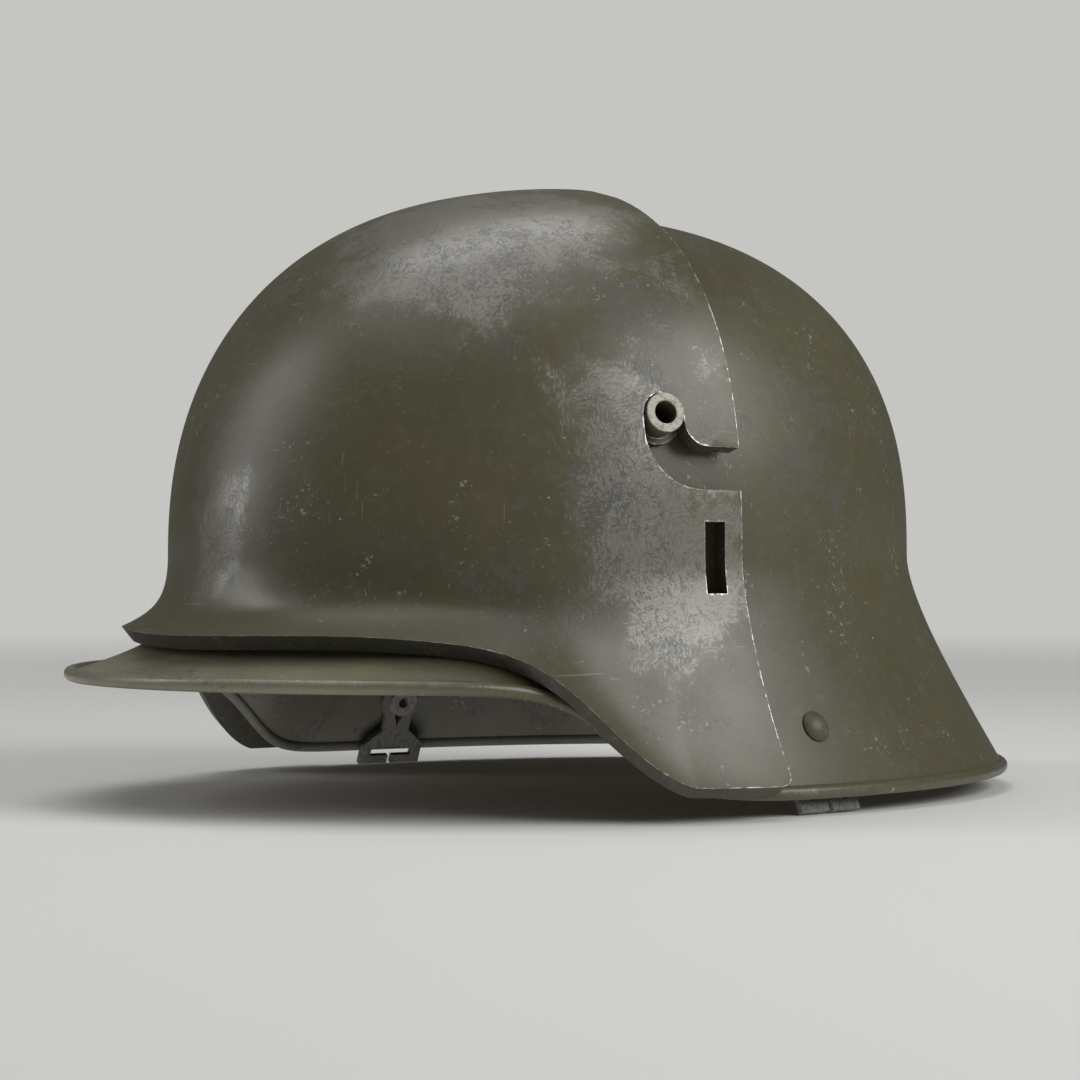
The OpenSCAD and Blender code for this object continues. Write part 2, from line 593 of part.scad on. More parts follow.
module pad_leather(c) {
    rows = len(pad_rows);
    n = pad_col_count + 1;
    size = rows * n;
    h = leather_t / 2;
    points = concat(pad_grid(c, 1, h), pad_grid(c, -1, h), pad_grid(c, 1, -h), pad_grid(c, -1, -h));
    // the two halves share their middle column up to the split
    function id(face, side, i, j) = face * 2 * size
        + (side == 1 && !(j == 0 && i <= split_row) ? size : 0) + i * n + j;
    function quad(a, b, c, d, flip) = flip ? [[a, c, b], [a, d, c]] : [[a, b, c], [a, c, d]];
    skins = [for (face = [0, 1], side = [0, 1], i = [0 : rows - 2], j = [0 : pad_col_count - 1])
        each quad(id(face, side, i, j), id(face, side, i + 1, j), id(face, side, i + 1, j + 1),
            id(face, side, i, j + 1), face != side)];
    outer_edges = [for (side = [0, 1], i = [0 : rows - 2]) each quad(id(0, side, i, pad_col_count),
        id(0, side, i + 1, pad_col_count), id(1, side, i + 1, pad_col_count),
        id(1, side, i, pad_col_count), side == 1)];
    inner_edges = [for (side = [0, 1], i = [split_row : rows - 2]) each quad(id(0, side, i, 0),
        id(0, side, i + 1, 0), id(1, side, i + 1, 0), id(1, side, i, 0), side == 0)];
    ends = [for (side = [0, 1], j = [0 : pad_col_count - 1]) each concat(
        quad(id(0, side, 0, j), id(0, side, 0, j + 1), id(1, side, 0, j + 1), id(1, side, 0, j), side == 1),
        quad(id(0, side, rows - 1, j), id(0, side, rows - 1, j + 1), id(1, side, rows - 1, j + 1),
            id(1, side, rows - 1, j), side == 0))];
    polyhedron(points = points, faces = concat(skins, outer_edges, inner_edges, ends), convexity = 6);
}
lace_wave = 8;                  // rise and fall of the lace between tongues
hole_r = lace_r + 2.3;
module liner_pad(c) {
    color(leather) difference() {
        pad_leather(c);
        for (d = [-42, 0, 42]) rivet_hole(c + d);
        for (d = [-tongue_centre, tongue_centre])
            translate(liner_point(c + d, hole_polar, 0) - [0, 0, cut / 2]) cylinder(r = hole_r, h = cut);
    }
}
module liner_pad_left() { liner_pad(pad_centres[0]); }
module liner_pad_rear() { liner_pad(pad_centres[1]); }
module liner_pad_right() { liner_pad(pad_centres[2]); }

// Rivets that hold the pads' flanges to the band
rivet_head_r = 3;
rivet_head_t = 0.6;
module pad_rivets() {
    grip = band_t + leather_t + 3 * fit + facet_sag;
    for (a = rivet_azimuths) stand(band_place(a, band_out + fit, rivet_z), band_facing(a))
        color(bare_steel) {
            cylinder(r = rivet_head_r, h = rivet_head_t);
            translate([0, 0, -grip - 0.3]) cylinder(r = rivet_r, h = grip + 0.6);
            translate([0, 0, -grip - rivet_head_t]) cylinder(r = rivet_head_r, h = rivet_head_t);
        }
}

// Hair cushion in the pocket behind a pad, crowned towards the shell
cushion_half = 36;
cushion_polar = [90, 60];
cushion_col_count = 12;
cushion_row_count = 8;
cushion_gap = 0.3;
cushion_edge = 1.2;             // thickness at the drawn-in edge
function crowned(u, v) = pow((1 - pow(u, 4)) * (1 - pow(v, 4)), 0.6);
function cushion_point(c, i, j, face) = let (u = 2 * j / cushion_col_count - 1,
    v = 2 * i / cushion_row_count - 1, pull = 1 - 0.06 * (1 - abs(v)), a = c + cushion_half * u * pull,
    p = cushion_polar[0] + (cushion_polar[1] - cushion_polar[0]) * i / cushion_row_count,
    back = -leather_t / 2 - cushion_gap,
    out = face == 0 ? 0 : cushion_edge + (cushion_t - cushion_edge) * crowned(u, v))
    liner_point(a, p, back - out);
module pad_cushion(c) {
    n = cushion_col_count + 1;
    rows = cushion_row_count + 1;
    size = rows * n;
    points = [for (f = [0, 1], i = [0 : cushion_row_count], j = [0 : cushion_col_count])
        cushion_point(c, i, j, f)];
    function quad(a, b, c, d, flip) = flip ? [[a, c, b], [a, d, c]] : [[a, b, c], [a, c, d]];
    skins = [for (f = [0, 1], i = [0 : cushion_row_count - 1], j = [0 : cushion_col_count - 1])
        let (o = f * size + i * n + j) each quad(o, o + 1, o + n + 1, o + n, f == 1)];
    sides = [for (i = [0 : cushion_row_count - 1]) each concat(
        quad(i * n, (i + 1) * n, size + (i + 1) * n, size + i * n, false),
        quad(i * n + n - 1, (i + 1) * n + n - 1, size + (i + 1) * n + n - 1, size + i * n + n - 1, true))];
    ends = [for (j = [0 : cushion_col_count - 1]) each concat(
        quad(j, j + 1, size + j + 1, size + j, true),
        quad(cushion_row_count * n + j, cushion_row_count * n + j + 1, size + cushion_row_count * n + j + 1,
            size + cushion_row_count * n + j, false))];
    color(cloth) polyhedron(points = points, faces = concat(skins, sides, ends), convexity = 4);
}
module pad_cushion_left() { pad_cushion(pad_centres[0]); }
module pad_cushion_rear() { pad_cushion(pad_centres[1]); }
module pad_cushion_right() { pad_cushion(pad_centres[2]); }

// Crown lace: one cord that runs through the six tongue holes, over and under in turn
lace_ring_count = 60;
lace_side_count = 6;
function lace_at(a) = liner_point(a, hole_polar, 0) + [0, 0, lace_wave * cos(3 * a)];
module crown_lace() {
    points = flat_list([for (i = [0 : lace_ring_count - 1]) let (a = 360 * i / lace_ring_count,
        p = lace_at(a), d = lace_at(a + 1) - lace_at(a - 1), t = d / norm(d), s = cross(t, [0, 0, 1]),
        n1 = s / norm(s), n2 = cross(n1, t))
        [for (k = [0 : lace_side_count - 1]) let (w = 360 * k / lace_side_count)
            p + lace_r * (cos(w) * n1 + sin(w) * n2)]]);
    color(cloth) polyhedron(points = points, faces = ring_faces(lace_ring_count, lace_side_count, true),
        convexity = 6);
}

helmet_shell();
brow_plate();
vent_lug_left();
vent_lug_right();
lug_washer_left();
lug_washer_right();
strap_post_left();
strap_post_right();
strap_bracket_left();
strap_bracket_right();
split_pin_left();
split_pin_right();
split_pin_rear();
pin_washers();
liner_band();
liner_pad_left();
liner_pad_right();
liner_pad_rear();
pad_cushion_left();
pad_cushion_right();
pad_cushion_rear();
pad_rivets();
crown_lace();
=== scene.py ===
import math
import bpy
import numpy as np
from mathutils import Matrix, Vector
from mathutils.geometry import delaunay_2d_cdt


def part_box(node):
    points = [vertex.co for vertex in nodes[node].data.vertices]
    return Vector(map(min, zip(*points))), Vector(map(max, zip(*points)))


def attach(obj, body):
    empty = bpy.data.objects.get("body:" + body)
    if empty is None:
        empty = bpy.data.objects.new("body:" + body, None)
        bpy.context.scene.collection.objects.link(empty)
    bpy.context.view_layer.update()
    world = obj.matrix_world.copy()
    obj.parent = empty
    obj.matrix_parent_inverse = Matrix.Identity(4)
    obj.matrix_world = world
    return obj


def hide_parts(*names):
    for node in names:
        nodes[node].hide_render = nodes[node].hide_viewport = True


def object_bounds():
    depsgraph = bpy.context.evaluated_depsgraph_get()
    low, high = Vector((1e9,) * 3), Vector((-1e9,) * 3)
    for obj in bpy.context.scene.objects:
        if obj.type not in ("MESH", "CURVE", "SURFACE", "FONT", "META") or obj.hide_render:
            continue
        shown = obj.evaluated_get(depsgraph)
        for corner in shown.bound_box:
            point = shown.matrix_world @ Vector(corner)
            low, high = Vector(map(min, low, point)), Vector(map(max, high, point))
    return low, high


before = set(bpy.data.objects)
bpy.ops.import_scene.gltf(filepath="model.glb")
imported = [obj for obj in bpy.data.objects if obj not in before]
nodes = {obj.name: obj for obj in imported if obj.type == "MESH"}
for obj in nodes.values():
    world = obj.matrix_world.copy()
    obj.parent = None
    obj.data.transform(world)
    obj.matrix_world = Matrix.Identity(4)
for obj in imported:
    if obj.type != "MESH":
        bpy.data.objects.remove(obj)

cad_box = [list(corner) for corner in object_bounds()]

# The studio: a pale floor just under the lowest fitting, a pale surround, five soft lamps, and
# a camera at the photograph's angle, level with the dome and 0.97 m away.
MM = 0.001
CAMERA_AZIMUTH, CAMERA_TILT, CAMERA_DISTANCE = math.radians(54.6), math.radians(0.16), 0.967
AIM_RIGHT, AIM_UP = -0.00085, 0.0707      # m from the origin, across and up the picture
FOCAL_PIXELS, FRAME_PIXELS, SENSOR, NEAR_CLIP, FAR_CLIP = 3106, 1080, 36.0, 0.02, 60
PALE, GLOW, FLOOR_TONE = (0.56, 0.56, 0.54, 1), (0.09, 0.09, 0.09, 1), (0.66, 0.66, 0.64, 1)
FLOOR_HALF, FLOOR_GAP, FAR_START, FAR_END, LAMP_AIM = 20.0, 0.0003, 0.35, 1.6, 0.08
# azimuth and tilt in degrees, distance, width and height in m, and power in W
LAMPS = {"key_lamp": (113, 30, 1.5, 1.1, 0.9, 17), "side_lamp": (-38, 22, 1.3, 0.28, 0.90, 4.6),
         "top_lamp": (250, 70, 1.4, 0.9, 0.6, 2.5), "brow_lamp": (-10, 80, 1.4, 1.4, 1.4, 8.5),
         "inside_lamp": (40, -62, 0.9, 0.6, 0.6, 3.3)}


def direction(azimuth, tilt):
    """Unit vector from the helmet: azimuth 0 is its front (-Y), 90 is the wearer's left (+X)."""
    return Vector((math.sin(azimuth) * math.cos(tilt), -math.cos(azimuth) * math.cos(tilt), math.sin(tilt)))


scene = bpy.context.scene
scene.view_settings.view_transform = "Standard"
back = direction(CAMERA_AZIMUTH, CAMERA_TILT)
right = Vector((math.cos(CAMERA_AZIMUTH), math.sin(CAMERA_AZIMUTH), 0))
camera = bpy.data.objects.new("camera", bpy.data.cameras.new("camera"))
scene.collection.objects.link(camera)
camera.data.sensor_width = SENSOR
camera.data.lens = SENSOR * FOCAL_PIXELS / FRAME_PIXELS
camera.data.clip_start, camera.data.clip_end = NEAR_CLIP, FAR_CLIP
camera.location = right * AIM_RIGHT + back.cross(right) * AIM_UP + back * CAMERA_DISTANCE
camera.rotation_euler = back.to_track_quat("Z", "Y").to_euler()
scene.camera = camera

for name, (azimuth, tilt, distance, width, height, power) in LAMPS.items():
    light = bpy.data.lights.new(name, "AREA")
    light.shape, light.size, light.size_y, light.energy = "RECTANGLE", width, height, power
    lamp = bpy.data.objects.new(name, light)
    scene.collection.objects.link(lamp)
    away = direction(math.radians(azimuth), math.radians(tilt))
    lamp.location = Vector((0, 0, LAMP_AIM)) + away * distance
    lamp.rotation_euler = away.to_track_quat("Z", "Y").to_euler()


class Wire:
    """One output of a shader node. Sums and products of wires and numbers add Math nodes, a | b is
    the greater of two, and step is a smooth step."""

    def __init__(self, recipe, socket):
        self.recipe, self.socket = recipe, socket

    def beside(self, output):
        """Another output of the same node."""
        return Wire(self.recipe, self.socket.node.outputs[output])

    def __add__(self, other):
        return self.recipe.math("ADD", self, other)

    def __sub__(self, other):
        return self.recipe.math("SUBTRACT", self, other)

    def __rsub__(self, other):
        return self.recipe.math("SUBTRACT", other, self)

    def __mul__(self, other):
        return self.recipe.math("MULTIPLY", self, other)

    def __or__(self, other):
        return self.recipe.math("MAXIMUM", self, other)

    def __abs__(self):
        return self.recipe.math("ABSOLUTE", self)

    def step(self, low, high, bottom=0.0, top=1.0):
        """Goes from bottom to top while this value goes from low to high."""
        return self.recipe.put("MapRange", "Result", interpolation_type="SMOOTHSTEP", Value=self,
                               From_Min=low, From_Max=high, To_Min=bottom, To_Max=top)


class Recipe:
    """Short hand for a tree of shader nodes: each call adds a node and gives back its output."""

    def __init__(self, tree):
        self.tree = tree

    def fill(self, node, **inputs):
        """Sets or links a node's inputs, named with _ for a space, or numbered _0, _1 and so on."""
        for name, value in inputs.items():
            socket = node.inputs[int(name[1:]) if name[0] == "_" else name.replace("_", " ")]
            if isinstance(value, Wire):
                self.tree.links.new(value.socket, socket)
            else:
                socket.default_value = value

    def put(self, kind, output=0, **values):
        """Adds a node. Names in small letters are its settings, and the others are its inputs."""
        node = self.tree.nodes.new("ShaderNode" + kind)
        for name in [name for name in values if name.islower()]:
            setattr(node, name, values.pop(name))
        self.fill(node, **values)
        return Wire(self, node.outputs[output])

    def give(self, **outputs):
        """Ends a group of nodes with its outputs, and gives back the group."""
        self.fill(self.tree.nodes.new("NodeGroupOutput"), **outputs)
        return self.tree

    def math(self, operation, a, b=0.0):
        """Math node on one or two numbers."""
        return self.put("Math", operation=operation, _0=a, _1=b)

    def mark(self, name):
        """One of the piece's own marks, a number per point of its mesh."""
        return self.put("Attribute", "Fac", attribute_name=name)

    def noise(self, where, size_mm, detail=2.0, rough=0.5, twist=0.0):
        """Noise from 0 to 1 whose marks are about size_mm across."""
        return self.put("TexNoise", "Fac", Vector=where, Scale=1 / (size_mm * MM), Detail=detail,
                        Roughness=rough, Distortion=twist)

    def tint(self, share, a, b):
        """Mixes colours a and b by share."""
        return self.put("Mix", 2, data_type="RGBA", _0=share, _6=a, _7=b)

    def shade(self, color, share):
        """The same colour at a share of its strength."""
        return self.put("VectorMath", operation="SCALE", _0=color, Scale=share)

    def turned(self, where, turn, scale):
        """Coordinates turned by angles in degrees, then stretched."""
        return self.put("Mapping", Vector=where, Rotation=[math.radians(t) for t in turn], Scale=scale)


def new_finish(name):
    """New material: itself, its recipe, its shader and the object's own coordinates."""
    material = bpy.data.materials.new(name)
    material.use_nodes = True
    recipe = Recipe(material.node_tree)
    return material, recipe, material.node_tree.nodes["Principled BSDF"], recipe.put("TexCoord", "Object")


world = bpy.data.worlds.new("surround")
scene.world = world
world.use_nodes = True
world.node_tree.nodes.clear()
sky = Recipe(world.node_tree)
surround = sky.put("MixShader", _0=sky.put("LightPath", "Is Camera Ray"),
                   _1=sky.put("Background", Color=GLOW), _2=sky.put("Background", Color=PALE))
sky.fill(world.node_tree.nodes.new("ShaderNodeOutputWorld"), Surface=surround)

floor_height = min(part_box("strap_bracket_left")[0][2], cad_box[0][2]) - FLOOR_GAP
floor_mesh = bpy.data.meshes.new("floor")
floor_mesh.from_pydata([(x * FLOOR_HALF, y * FLOOR_HALF, floor_height) for x, y in
                        ((-1, -1), (1, -1), (1, 1), (-1, 1))], [], [(0, 1, 2, 3)])
floor = bpy.data.objects.new("floor", floor_mesh)
scene.collection.objects.link(floor)
floor.visible_shadow = False     # a weak lamp under the floor lights the inside of the helmet
floor_finish, r, shader, place = new_finish("floor_finish")
r.fill(shader, Base_Color=FLOOR_TONE, Roughness=0.9, Specular_IOR_Level=0.1)
# far from the helmet the camera sees the floor in the surround's colour, so no horizon shows
reach = r.put("VectorMath", "Value", operation="LENGTH", _0=place)
far_share = reach.step(FAR_START, FAR_END) * r.put("LightPath", "Is Camera Ray")
far_mix = r.put("MixShader", _0=far_share, _1=Wire(r, shader.outputs[0]), _2=r.put("Emission", Color=PALE))
r.fill(floor_finish.node_tree.nodes["Material Output"], Surface=far_mix)
floor_mesh.materials.append(floor_finish)


# The shell: one pressing of sheet steel, with its rim rolled round into a hollow bead.
# It is painted olive grey inside and out, and the paint is rubbed through on the high places.
DOME_HALF_W, DOME_FRONT, DOME_BACK = 96.5, 110.5, 119.0     # mm, all sizes in the mesh formulas
CROWN_H, WAIST_H = 170.0, 66.0
# superellipse powers of the waist (front, rear) and of the dome's profile (front, side, rear)
WAIST_POWERS, DOME_POWERS = (2.0, 2.15), (2.2, 2.55, 2.4)
# the flare's cubic, each in front, at the sides and behind: its handles' lengths and its slope at the rim
FLARE_DROPS, FLARE_RUNS, FLARE_SLOPES, HANDLE_MOST = (22, 16, 13), (28.5, 20.5, 24), (5, 56.5, 62), 0.6
VISOR_REACH, SIDE_REACH, BACK_REACH = 40.5, 24.0, 33.0
VISOR_H, REAR_RISE, VISOR_POWER = 31.3, 0.5, 2.9
STEP_AZIMUTH, STEP_RUN, STEP_TUCK, STEP_SPREAD = 66.8, 4.3, 11.0, 13.8
SHEET_T, ROLL_R = 1.2, 2.05
half = SHEET_T / 2


def blend_round(azimuth, front, side, rear):
    """Mixes front, side and rear values by the squares of the azimuth's cosine and sine."""
    c = np.cos(azimuth)
    return side + (front - side) * np.maximum(c, 0) ** 2 + (rear - side) * np.maximum(-c, 0) ** 2


def signed_power(v, e):
    """|v| to the power e, with v's sign."""
    return np.sign(v) * np.abs(v) ** e


def waist(azimuth):
    """Superellipse of the waist, with its own power behind, and its outward unit normal."""
    c, s = np.cos(azimuth), np.sin(azimuth)
    power = np.where(c >= 0, *WAIST_POWERS)
    reach = np.where(c >= 0, DOME_FRONT, DOME_BACK)
    x = DOME_HALF_W * signed_power(s, 2 / power)
    y = -reach * signed_power(c, 2 / power)
    nx = signed_power(x / DOME_HALF_W, power - 1) / DOME_HALF_W
    ny = signed_power(y / reach, power - 1) / reach
    length = np.hypot(nx, ny)
    return x, y, nx / length, ny / length


def dome(azimuth, polar, off):
    """Superellipsoid over the waist, whose power changes round it, moved out by off."""
    power = blend_round(azimuth, *DOME_POWERS)
    x, y, nx, ny = waist(azimuth)
    r = np.clip(np.sin(polar), 0, 1) ** (2 / power)
    z = WAIST_H + (CROWN_H - WAIST_H + off) * np.clip(np.cos(polar), 0, 1) ** (2 / power)
    return np.stack([(x + nx * off) * r, (y + ny * off) * r, z], -1)


def flare_curve(azimuth, reach, height, share):
    """Cubic from the waist, down, and out to the rim at (reach, height): place and unit direction."""
    fall = WAIST_H - height
    drop = np.minimum(blend_round(azimuth, *FLARE_DROPS), fall * HANDLE_MOST)
    run = np.minimum(blend_round(azimuth, *FLARE_RUNS), np.hypot(reach, fall) * HANDLE_MOST)
    slope = np.radians(blend_round(azimuth, *FLARE_SLOPES))
    zero = 0 * reach
    poles = [(zero, WAIST_H + zero), (zero, WAIST_H - drop),
             (reach - run * np.cos(slope), height + run * np.sin(slope)), (reach, height + zero)]
    weights = [(1 - share) ** 3, 3 * share * (1 - share) ** 2, 3 * share ** 2 * (1 - share), share ** 3]
    slopes = [(1 - share) ** 2, 2 * share * (1 - share), share ** 2]
    place = [sum(w * p[k] for w, p in zip(weights, poles)) for k in (0, 1)]
    run_dir = [sum(w * (poles[i + 1][k] - poles[i][k]) for i, w in enumerate(slopes)) for k in (0, 1)]
    length = np.hypot(*run_dir) + 1e-12
    return place, [run_dir[0] / length, run_dir[1] / length]


def lift(azimuth, reach, height):
    """Point at a reach beyond the waist, along the waist's normal, and at a height."""
    x, y, nx, ny = waist(azimuth)
    return np.stack([x + nx * reach, y + ny * reach, height + 0 * x], -1)


def flare(azimuth, rim, share, off):
    """The flare's curve at a share of its way to the rim, moved out by off along its own normal."""
    (e, z), (de, dz) = flare_curve(azimuth, rim[0], rim[1], share)
    return lift(azimuth, e - dz * off, z + de * off)


def from_front(azimuth):
    """Unsigned angle from the front, in degrees."""
    return np.degrees(np.arccos(np.clip(np.cos(azimuth), -1, 1)))


def shell_rim(azimuth):
    """The rim's reach and height: high at the visor, a step down behind the temples, tucked in there."""
    turn, c = from_front(azimuth), np.cos(azimuth)
    high = 1 / (1 + np.exp((turn - STEP_AZIMUTH) / STEP_RUN))
    reach = np.where(c >= 0, SIDE_REACH + (VISOR_REACH - SIDE_REACH) * np.abs(c) ** VISOR_POWER,
                     SIDE_REACH + (BACK_REACH - SIDE_REACH) * c ** 2)
    reach = reach - STEP_TUCK * np.exp(-((turn - STEP_AZIMUTH) / STEP_SPREAD) ** 2)
    height = VISOR_H * high + REAR_RISE * np.clip((turn - 90) / 90, 0, 1) ** 2 * (1 - high)
    return reach, height


def mesh_piece(name, points, faces, materials=(), face_materials=None, smooth=True):
    """Blender object from points in mm and faces, with its place in its mesh."""
    mesh = bpy.data.meshes.new(name)
    mesh.from_pydata((np.asarray(points, float) * MM).tolist(), [], [tuple(map(int, f)) for f in faces])
    for material in materials:
        mesh.materials.append(material)
    if face_materials is not None:
        mesh.polygons.foreach_set("material_index", np.asarray(face_materials, np.int32))
    mesh.polygons.foreach_set("use_smooth", np.full(len(mesh.polygons), smooth))
    mesh.update()
    thing = bpy.data.objects.new(name, mesh)
    scene.collection.objects.link(thing)
    return thing


def grid_faces(rings, per_ring, closed=True):
    """Quads between neighbouring rings of a grid whose rows are the rings."""
    i, j = np.meshgrid(np.arange(rings if closed else rings - 1), np.arange(per_ring - 1), indexing="ij")
    k = (i + 1) % rings
    return np.stack([i * per_ring + j, i * per_ring + j + 1, k * per_ring + j + 1, k * per_ring + j],
                    -1).reshape(-1, 4)


def new_group(name, vectors, colors, numbers, results):
    """New group of shader nodes: its recipe, and a wire from each of its inputs, which are vectors,
    colours and numbers. It puts out Color and the numbers in results."""
    group = bpy.data.node_groups.new(name, "ShaderNodeTree")
    for way, kind, labels in (("INPUT", "Vector", vectors), ("INPUT", "Color", colors),
                              ("INPUT", "Float", numbers), ("OUTPUT", "Color", ["Color"]),
                              ("OUTPUT", "Float", results)):
        for label in labels:
            group.interface.new_socket(name=label, in_out=way, socket_type="NodeSocket" + kind)
    recipe, inputs = Recipe(group), group.nodes.new("NodeGroupInput").outputs
    return recipe, [Wire(recipe, inputs[label]) for label in vectors + colors + numbers]


# worn paint, as one group of shader nodes for every painted piece
r, (where, paint, rub_in, chip_in, edge_in, rough_in) = new_group(
    "worn_paint", ["Where"], ["Paint"], ["Rub", "Chip", "Edge", "Base Roughness"],
    ["Roughness", "Metallic", "Height"])

# slow changes of tone, a brown cast here and there, and fine pale and dark mottles
for size, detail, rough, low, high, most, tone in (
        (60, 3, 0.55, 0.30, 0.70, 0.40, (0.040, 0.035, 0.018, 1)),
        (42, 2, 0.50, 0.54, 0.74, 0.34, (0.100, 0.072, 0.040, 1)),
        (4, 5, 0.70, 0.50, 0.72, 0.20, (0.150, 0.143, 0.112, 1)),
        (2.1, 4, 0.70, 0.60, 0.68, 0.30, (0.050, 0.046, 0.032, 1))):
    paint = r.tint(r.noise(where, size, detail, rough).step(low, high, 0.0, most), paint, tone)

# rubbed places: thin pale paint whose borders and inside are scored by short bent strokes
bend_by = r.put("TexNoise", "Color", Vector=where, Scale=1 / (14 * MM), Detail=1.0)
bend_by = r.put("VectorMath", operation="MULTIPLY", _0=bend_by, _1=(0.011, 0.011, 0.011))
bent = r.put("VectorMath", _0=where, _1=bend_by)
stroke_a = r.noise(r.turned(bent, (0, 38, 20), (1, 1, 0.26)), 0.62, 2.0, 0.55)
stroke_b = r.noise(r.turned(bent, (25, -42, 65), (1, 0.25, 1)), 0.58, 2.0, 0.55)
stroke = r.put("Mix", _0=r.noise(where, 12, 2, 0.5).step(0.42, 0.58), _2=stroke_a, _3=stroke_b)
level = rub_in * 0.46 + r.noise(where, 15, 5, 0.66, 0.4)
worn = (level + (stroke - 0.5) * 0.85).step(0.80, 0.98)
bitten = stroke.step(0.38, 0.58, 0.35, 1.0)
haze = level.step(0.66, 1.02)
color = r.tint(haze * 0.62, paint, (0.146, 0.139, 0.110, 1))
color = r.tint(worn * bitten * 0.56, color, (0.225, 0.217, 0.192, 1))

# crazed chips, blue grey: broken worm lines where they crowd, small blotches, and flecks around
crowd = r.noise(where, 19, 4, 0.60, 0.4) + chip_in * 0.29
curl = r.noise(r.turned(where, (0, 15, 25), (1, 1, 0.75)), 3.0, 2.0, 0.5, 1.1)
curls = abs(curl - 0.5).step(0.022, 0.048, 1.0, 0.0) * r.noise(where, 1.9, 2, 0.5).step(0.42, 0.50)
curls = curls * crowd.step(0.60, 0.68)
blotches = (r.noise(where, 3.0, 5, 0.70, 0.8) + crowd * 0.9).step(1.27, 1.31)
fleck_a = r.noise(r.turned(bent, (0, 20, 10), (1, 1, 0.34)), 0.95, 2.0, 0.6)
fleck_b = r.noise(r.turned(bent, (60, 0, 50), (0.36, 1, 1)), 0.90, 2.0, 0.6)
flecks = ((fleck_a | fleck_b) + crowd * 0.42).step(0.925, 0.965)
chips = curls | blotches | flecks
color = r.tint(chips * 0.85, color, (0.070, 0.069, 0.070, 1))

# pale crumbs of bare primer, in loose swarms
swarm = r.noise(where, 17, 3, 0.6).step(0.50, 0.66, 0.0, 0.16)
crumbs = (r.noise(where, 1.5, 3, 0.65, 0.4) + swarm).step(0.755, 0.80)
color = r.tint(crumbs * 0.55, color, (0.30, 0.295, 0.285, 1))

# fine pale scratches in three directions, and pale and dark pin-head knocks
scratches = None
for turn, stretch, size in (((0, 50, 0), (1, 1, 0.022), 0.9), ((35, 0, 40), (1, 0.020, 1), 0.9),
                            ((-20, 30, 100), (0.018, 1, 1), 1.0)):
    fine = r.noise(r.turned(where, turn, stretch), size, 2.0, 0.5).step(0.690, 0.725)
    fine = fine * r.noise(r.turned(where, turn, (1, 1, 1)), 15, 2, 0.5).step(0.48, 0.60)
    scratches = fine if scratches is None else scratches | fine
color = r.tint(scratches * 0.28, color, (0.30, 0.29, 0.26, 1))
knocks = r.put("TexVoronoi", "Distance", Vector=where, Scale=1 / (5.0 * MM))
pick = r.put("SeparateColor", Color=knocks.beside("Color"))
pale_knocks = knocks.step(0.035, 0.075, 1.0, 0.0) * pick.step(0.84, 0.86)
dark_knocks = knocks.step(0.040, 0.075, 1.0, 0.0) * pick.beside(1).step(0.78, 0.80)
color = r.tint(pale_knocks * 0.70, color, (0.40, 0.39, 0.36, 1))
color = r.tint(dark_knocks * 0.80, color, (0.020, 0.019, 0.016, 1))

# chipped edges: bare bright steel in a ragged line where the piece's edge mark is high
bare = (edge_in + r.noise(where, 2.4, 4, 0.7) * 1.3).step(1.52, 1.62)
color = r.tint(bare * 0.85, color, (0.46, 0.45, 0.41, 1))
grain = r.noise(where, 0.8, 3, 0.6)
rough = rough_in + r.noise(where, 32, 4, 0.6).step(0.3, 0.7, -0.05, 0.06)
rough = rough - haze * 0.06 - worn * 0.05 + chips * 0.06 + (grain - 0.5) * 0.14
height = grain * 0.12 - chips * 0.45 - worn * 0.30 - scratches * 0.25
worn_paint = r.give(Color=color, Roughness=rough, Height=height, Metallic=worn * 0.10 | bare * 0.7)


def painted(name, paint, roughness=0.38, rub=None, chip=None, edge=0.0, bump=0.16, faded_and_lit=None):
    """Material of worn paint. rub, chip and edge are fixed amounts, or None to read the piece's own
    marks. faded_and_lit is a paler colour where the piece's fade mark is 1: partly sun-bleached
    paint, partly painted light."""
    material, r, shader, place = new_finish(name)
    marks = {label: r.mark(label.lower()) if amount is None else amount
             for label, amount in (("Rub", rub), ("Chip", chip), ("Edge", edge))}
    if faded_and_lit:
        paint = r.tint(r.mark("fade"), paint, faded_and_lit)
    worn = r.put("Group", "Color", node_tree=worn_paint, Where=place, Paint=paint,
                 Base_Roughness=roughness, **marks)
    bumps = r.put("Bump", Height=worn.beside("Height"), Strength=bump, Distance=0.0003)
    r.fill(shader, Base_Color=worn, Roughness=worn.beside("Roughness"), Metallic=worn.beside("Metallic"),
           Normal=bumps)
    return material


OLIVE = (0.080, 0.073, 0.039, 1)
# the paler colour, about three times as light as the olive, is partly sun-bleached paint and partly painted
# light on the visor's top
shell_outside = painted("shell_outside_paint", OLIVE, faded_and_lit=(0.240, 0.224, 0.150, 1))
# the inside's paint is greyer than the outside's, and made about twice as light to stand in for light that
# hardly reaches the hollow: painted light
shell_inside_with_painted_light = painted("inside_paint_with_painted_light", (0.150, 0.145, 0.115, 1), 0.58, rub=0.10, chip=0.30, bump=0.12)


def set_marks(thing, **marks):
    """Stores one number per point of a mesh under each name, for the materials to read."""
    for name, values in marks.items():
        layer = thing.data.attributes.new(name, "FLOAT", "POINT")
        layer.data.foreach_set("value", np.asarray(values, np.float32))


def spots(points, places):
    """Sum of round soft spots: each place is (x, y, z, radius, amount) in mm, fading as a bell curve."""
    total = np.zeros(len(points))
    for x, y, z, radius, amount in places:
        gap = np.linalg.norm(points - np.array([x, y, z]), axis=1) / radius
        total += amount * np.exp(-gap ** 2)
    return total


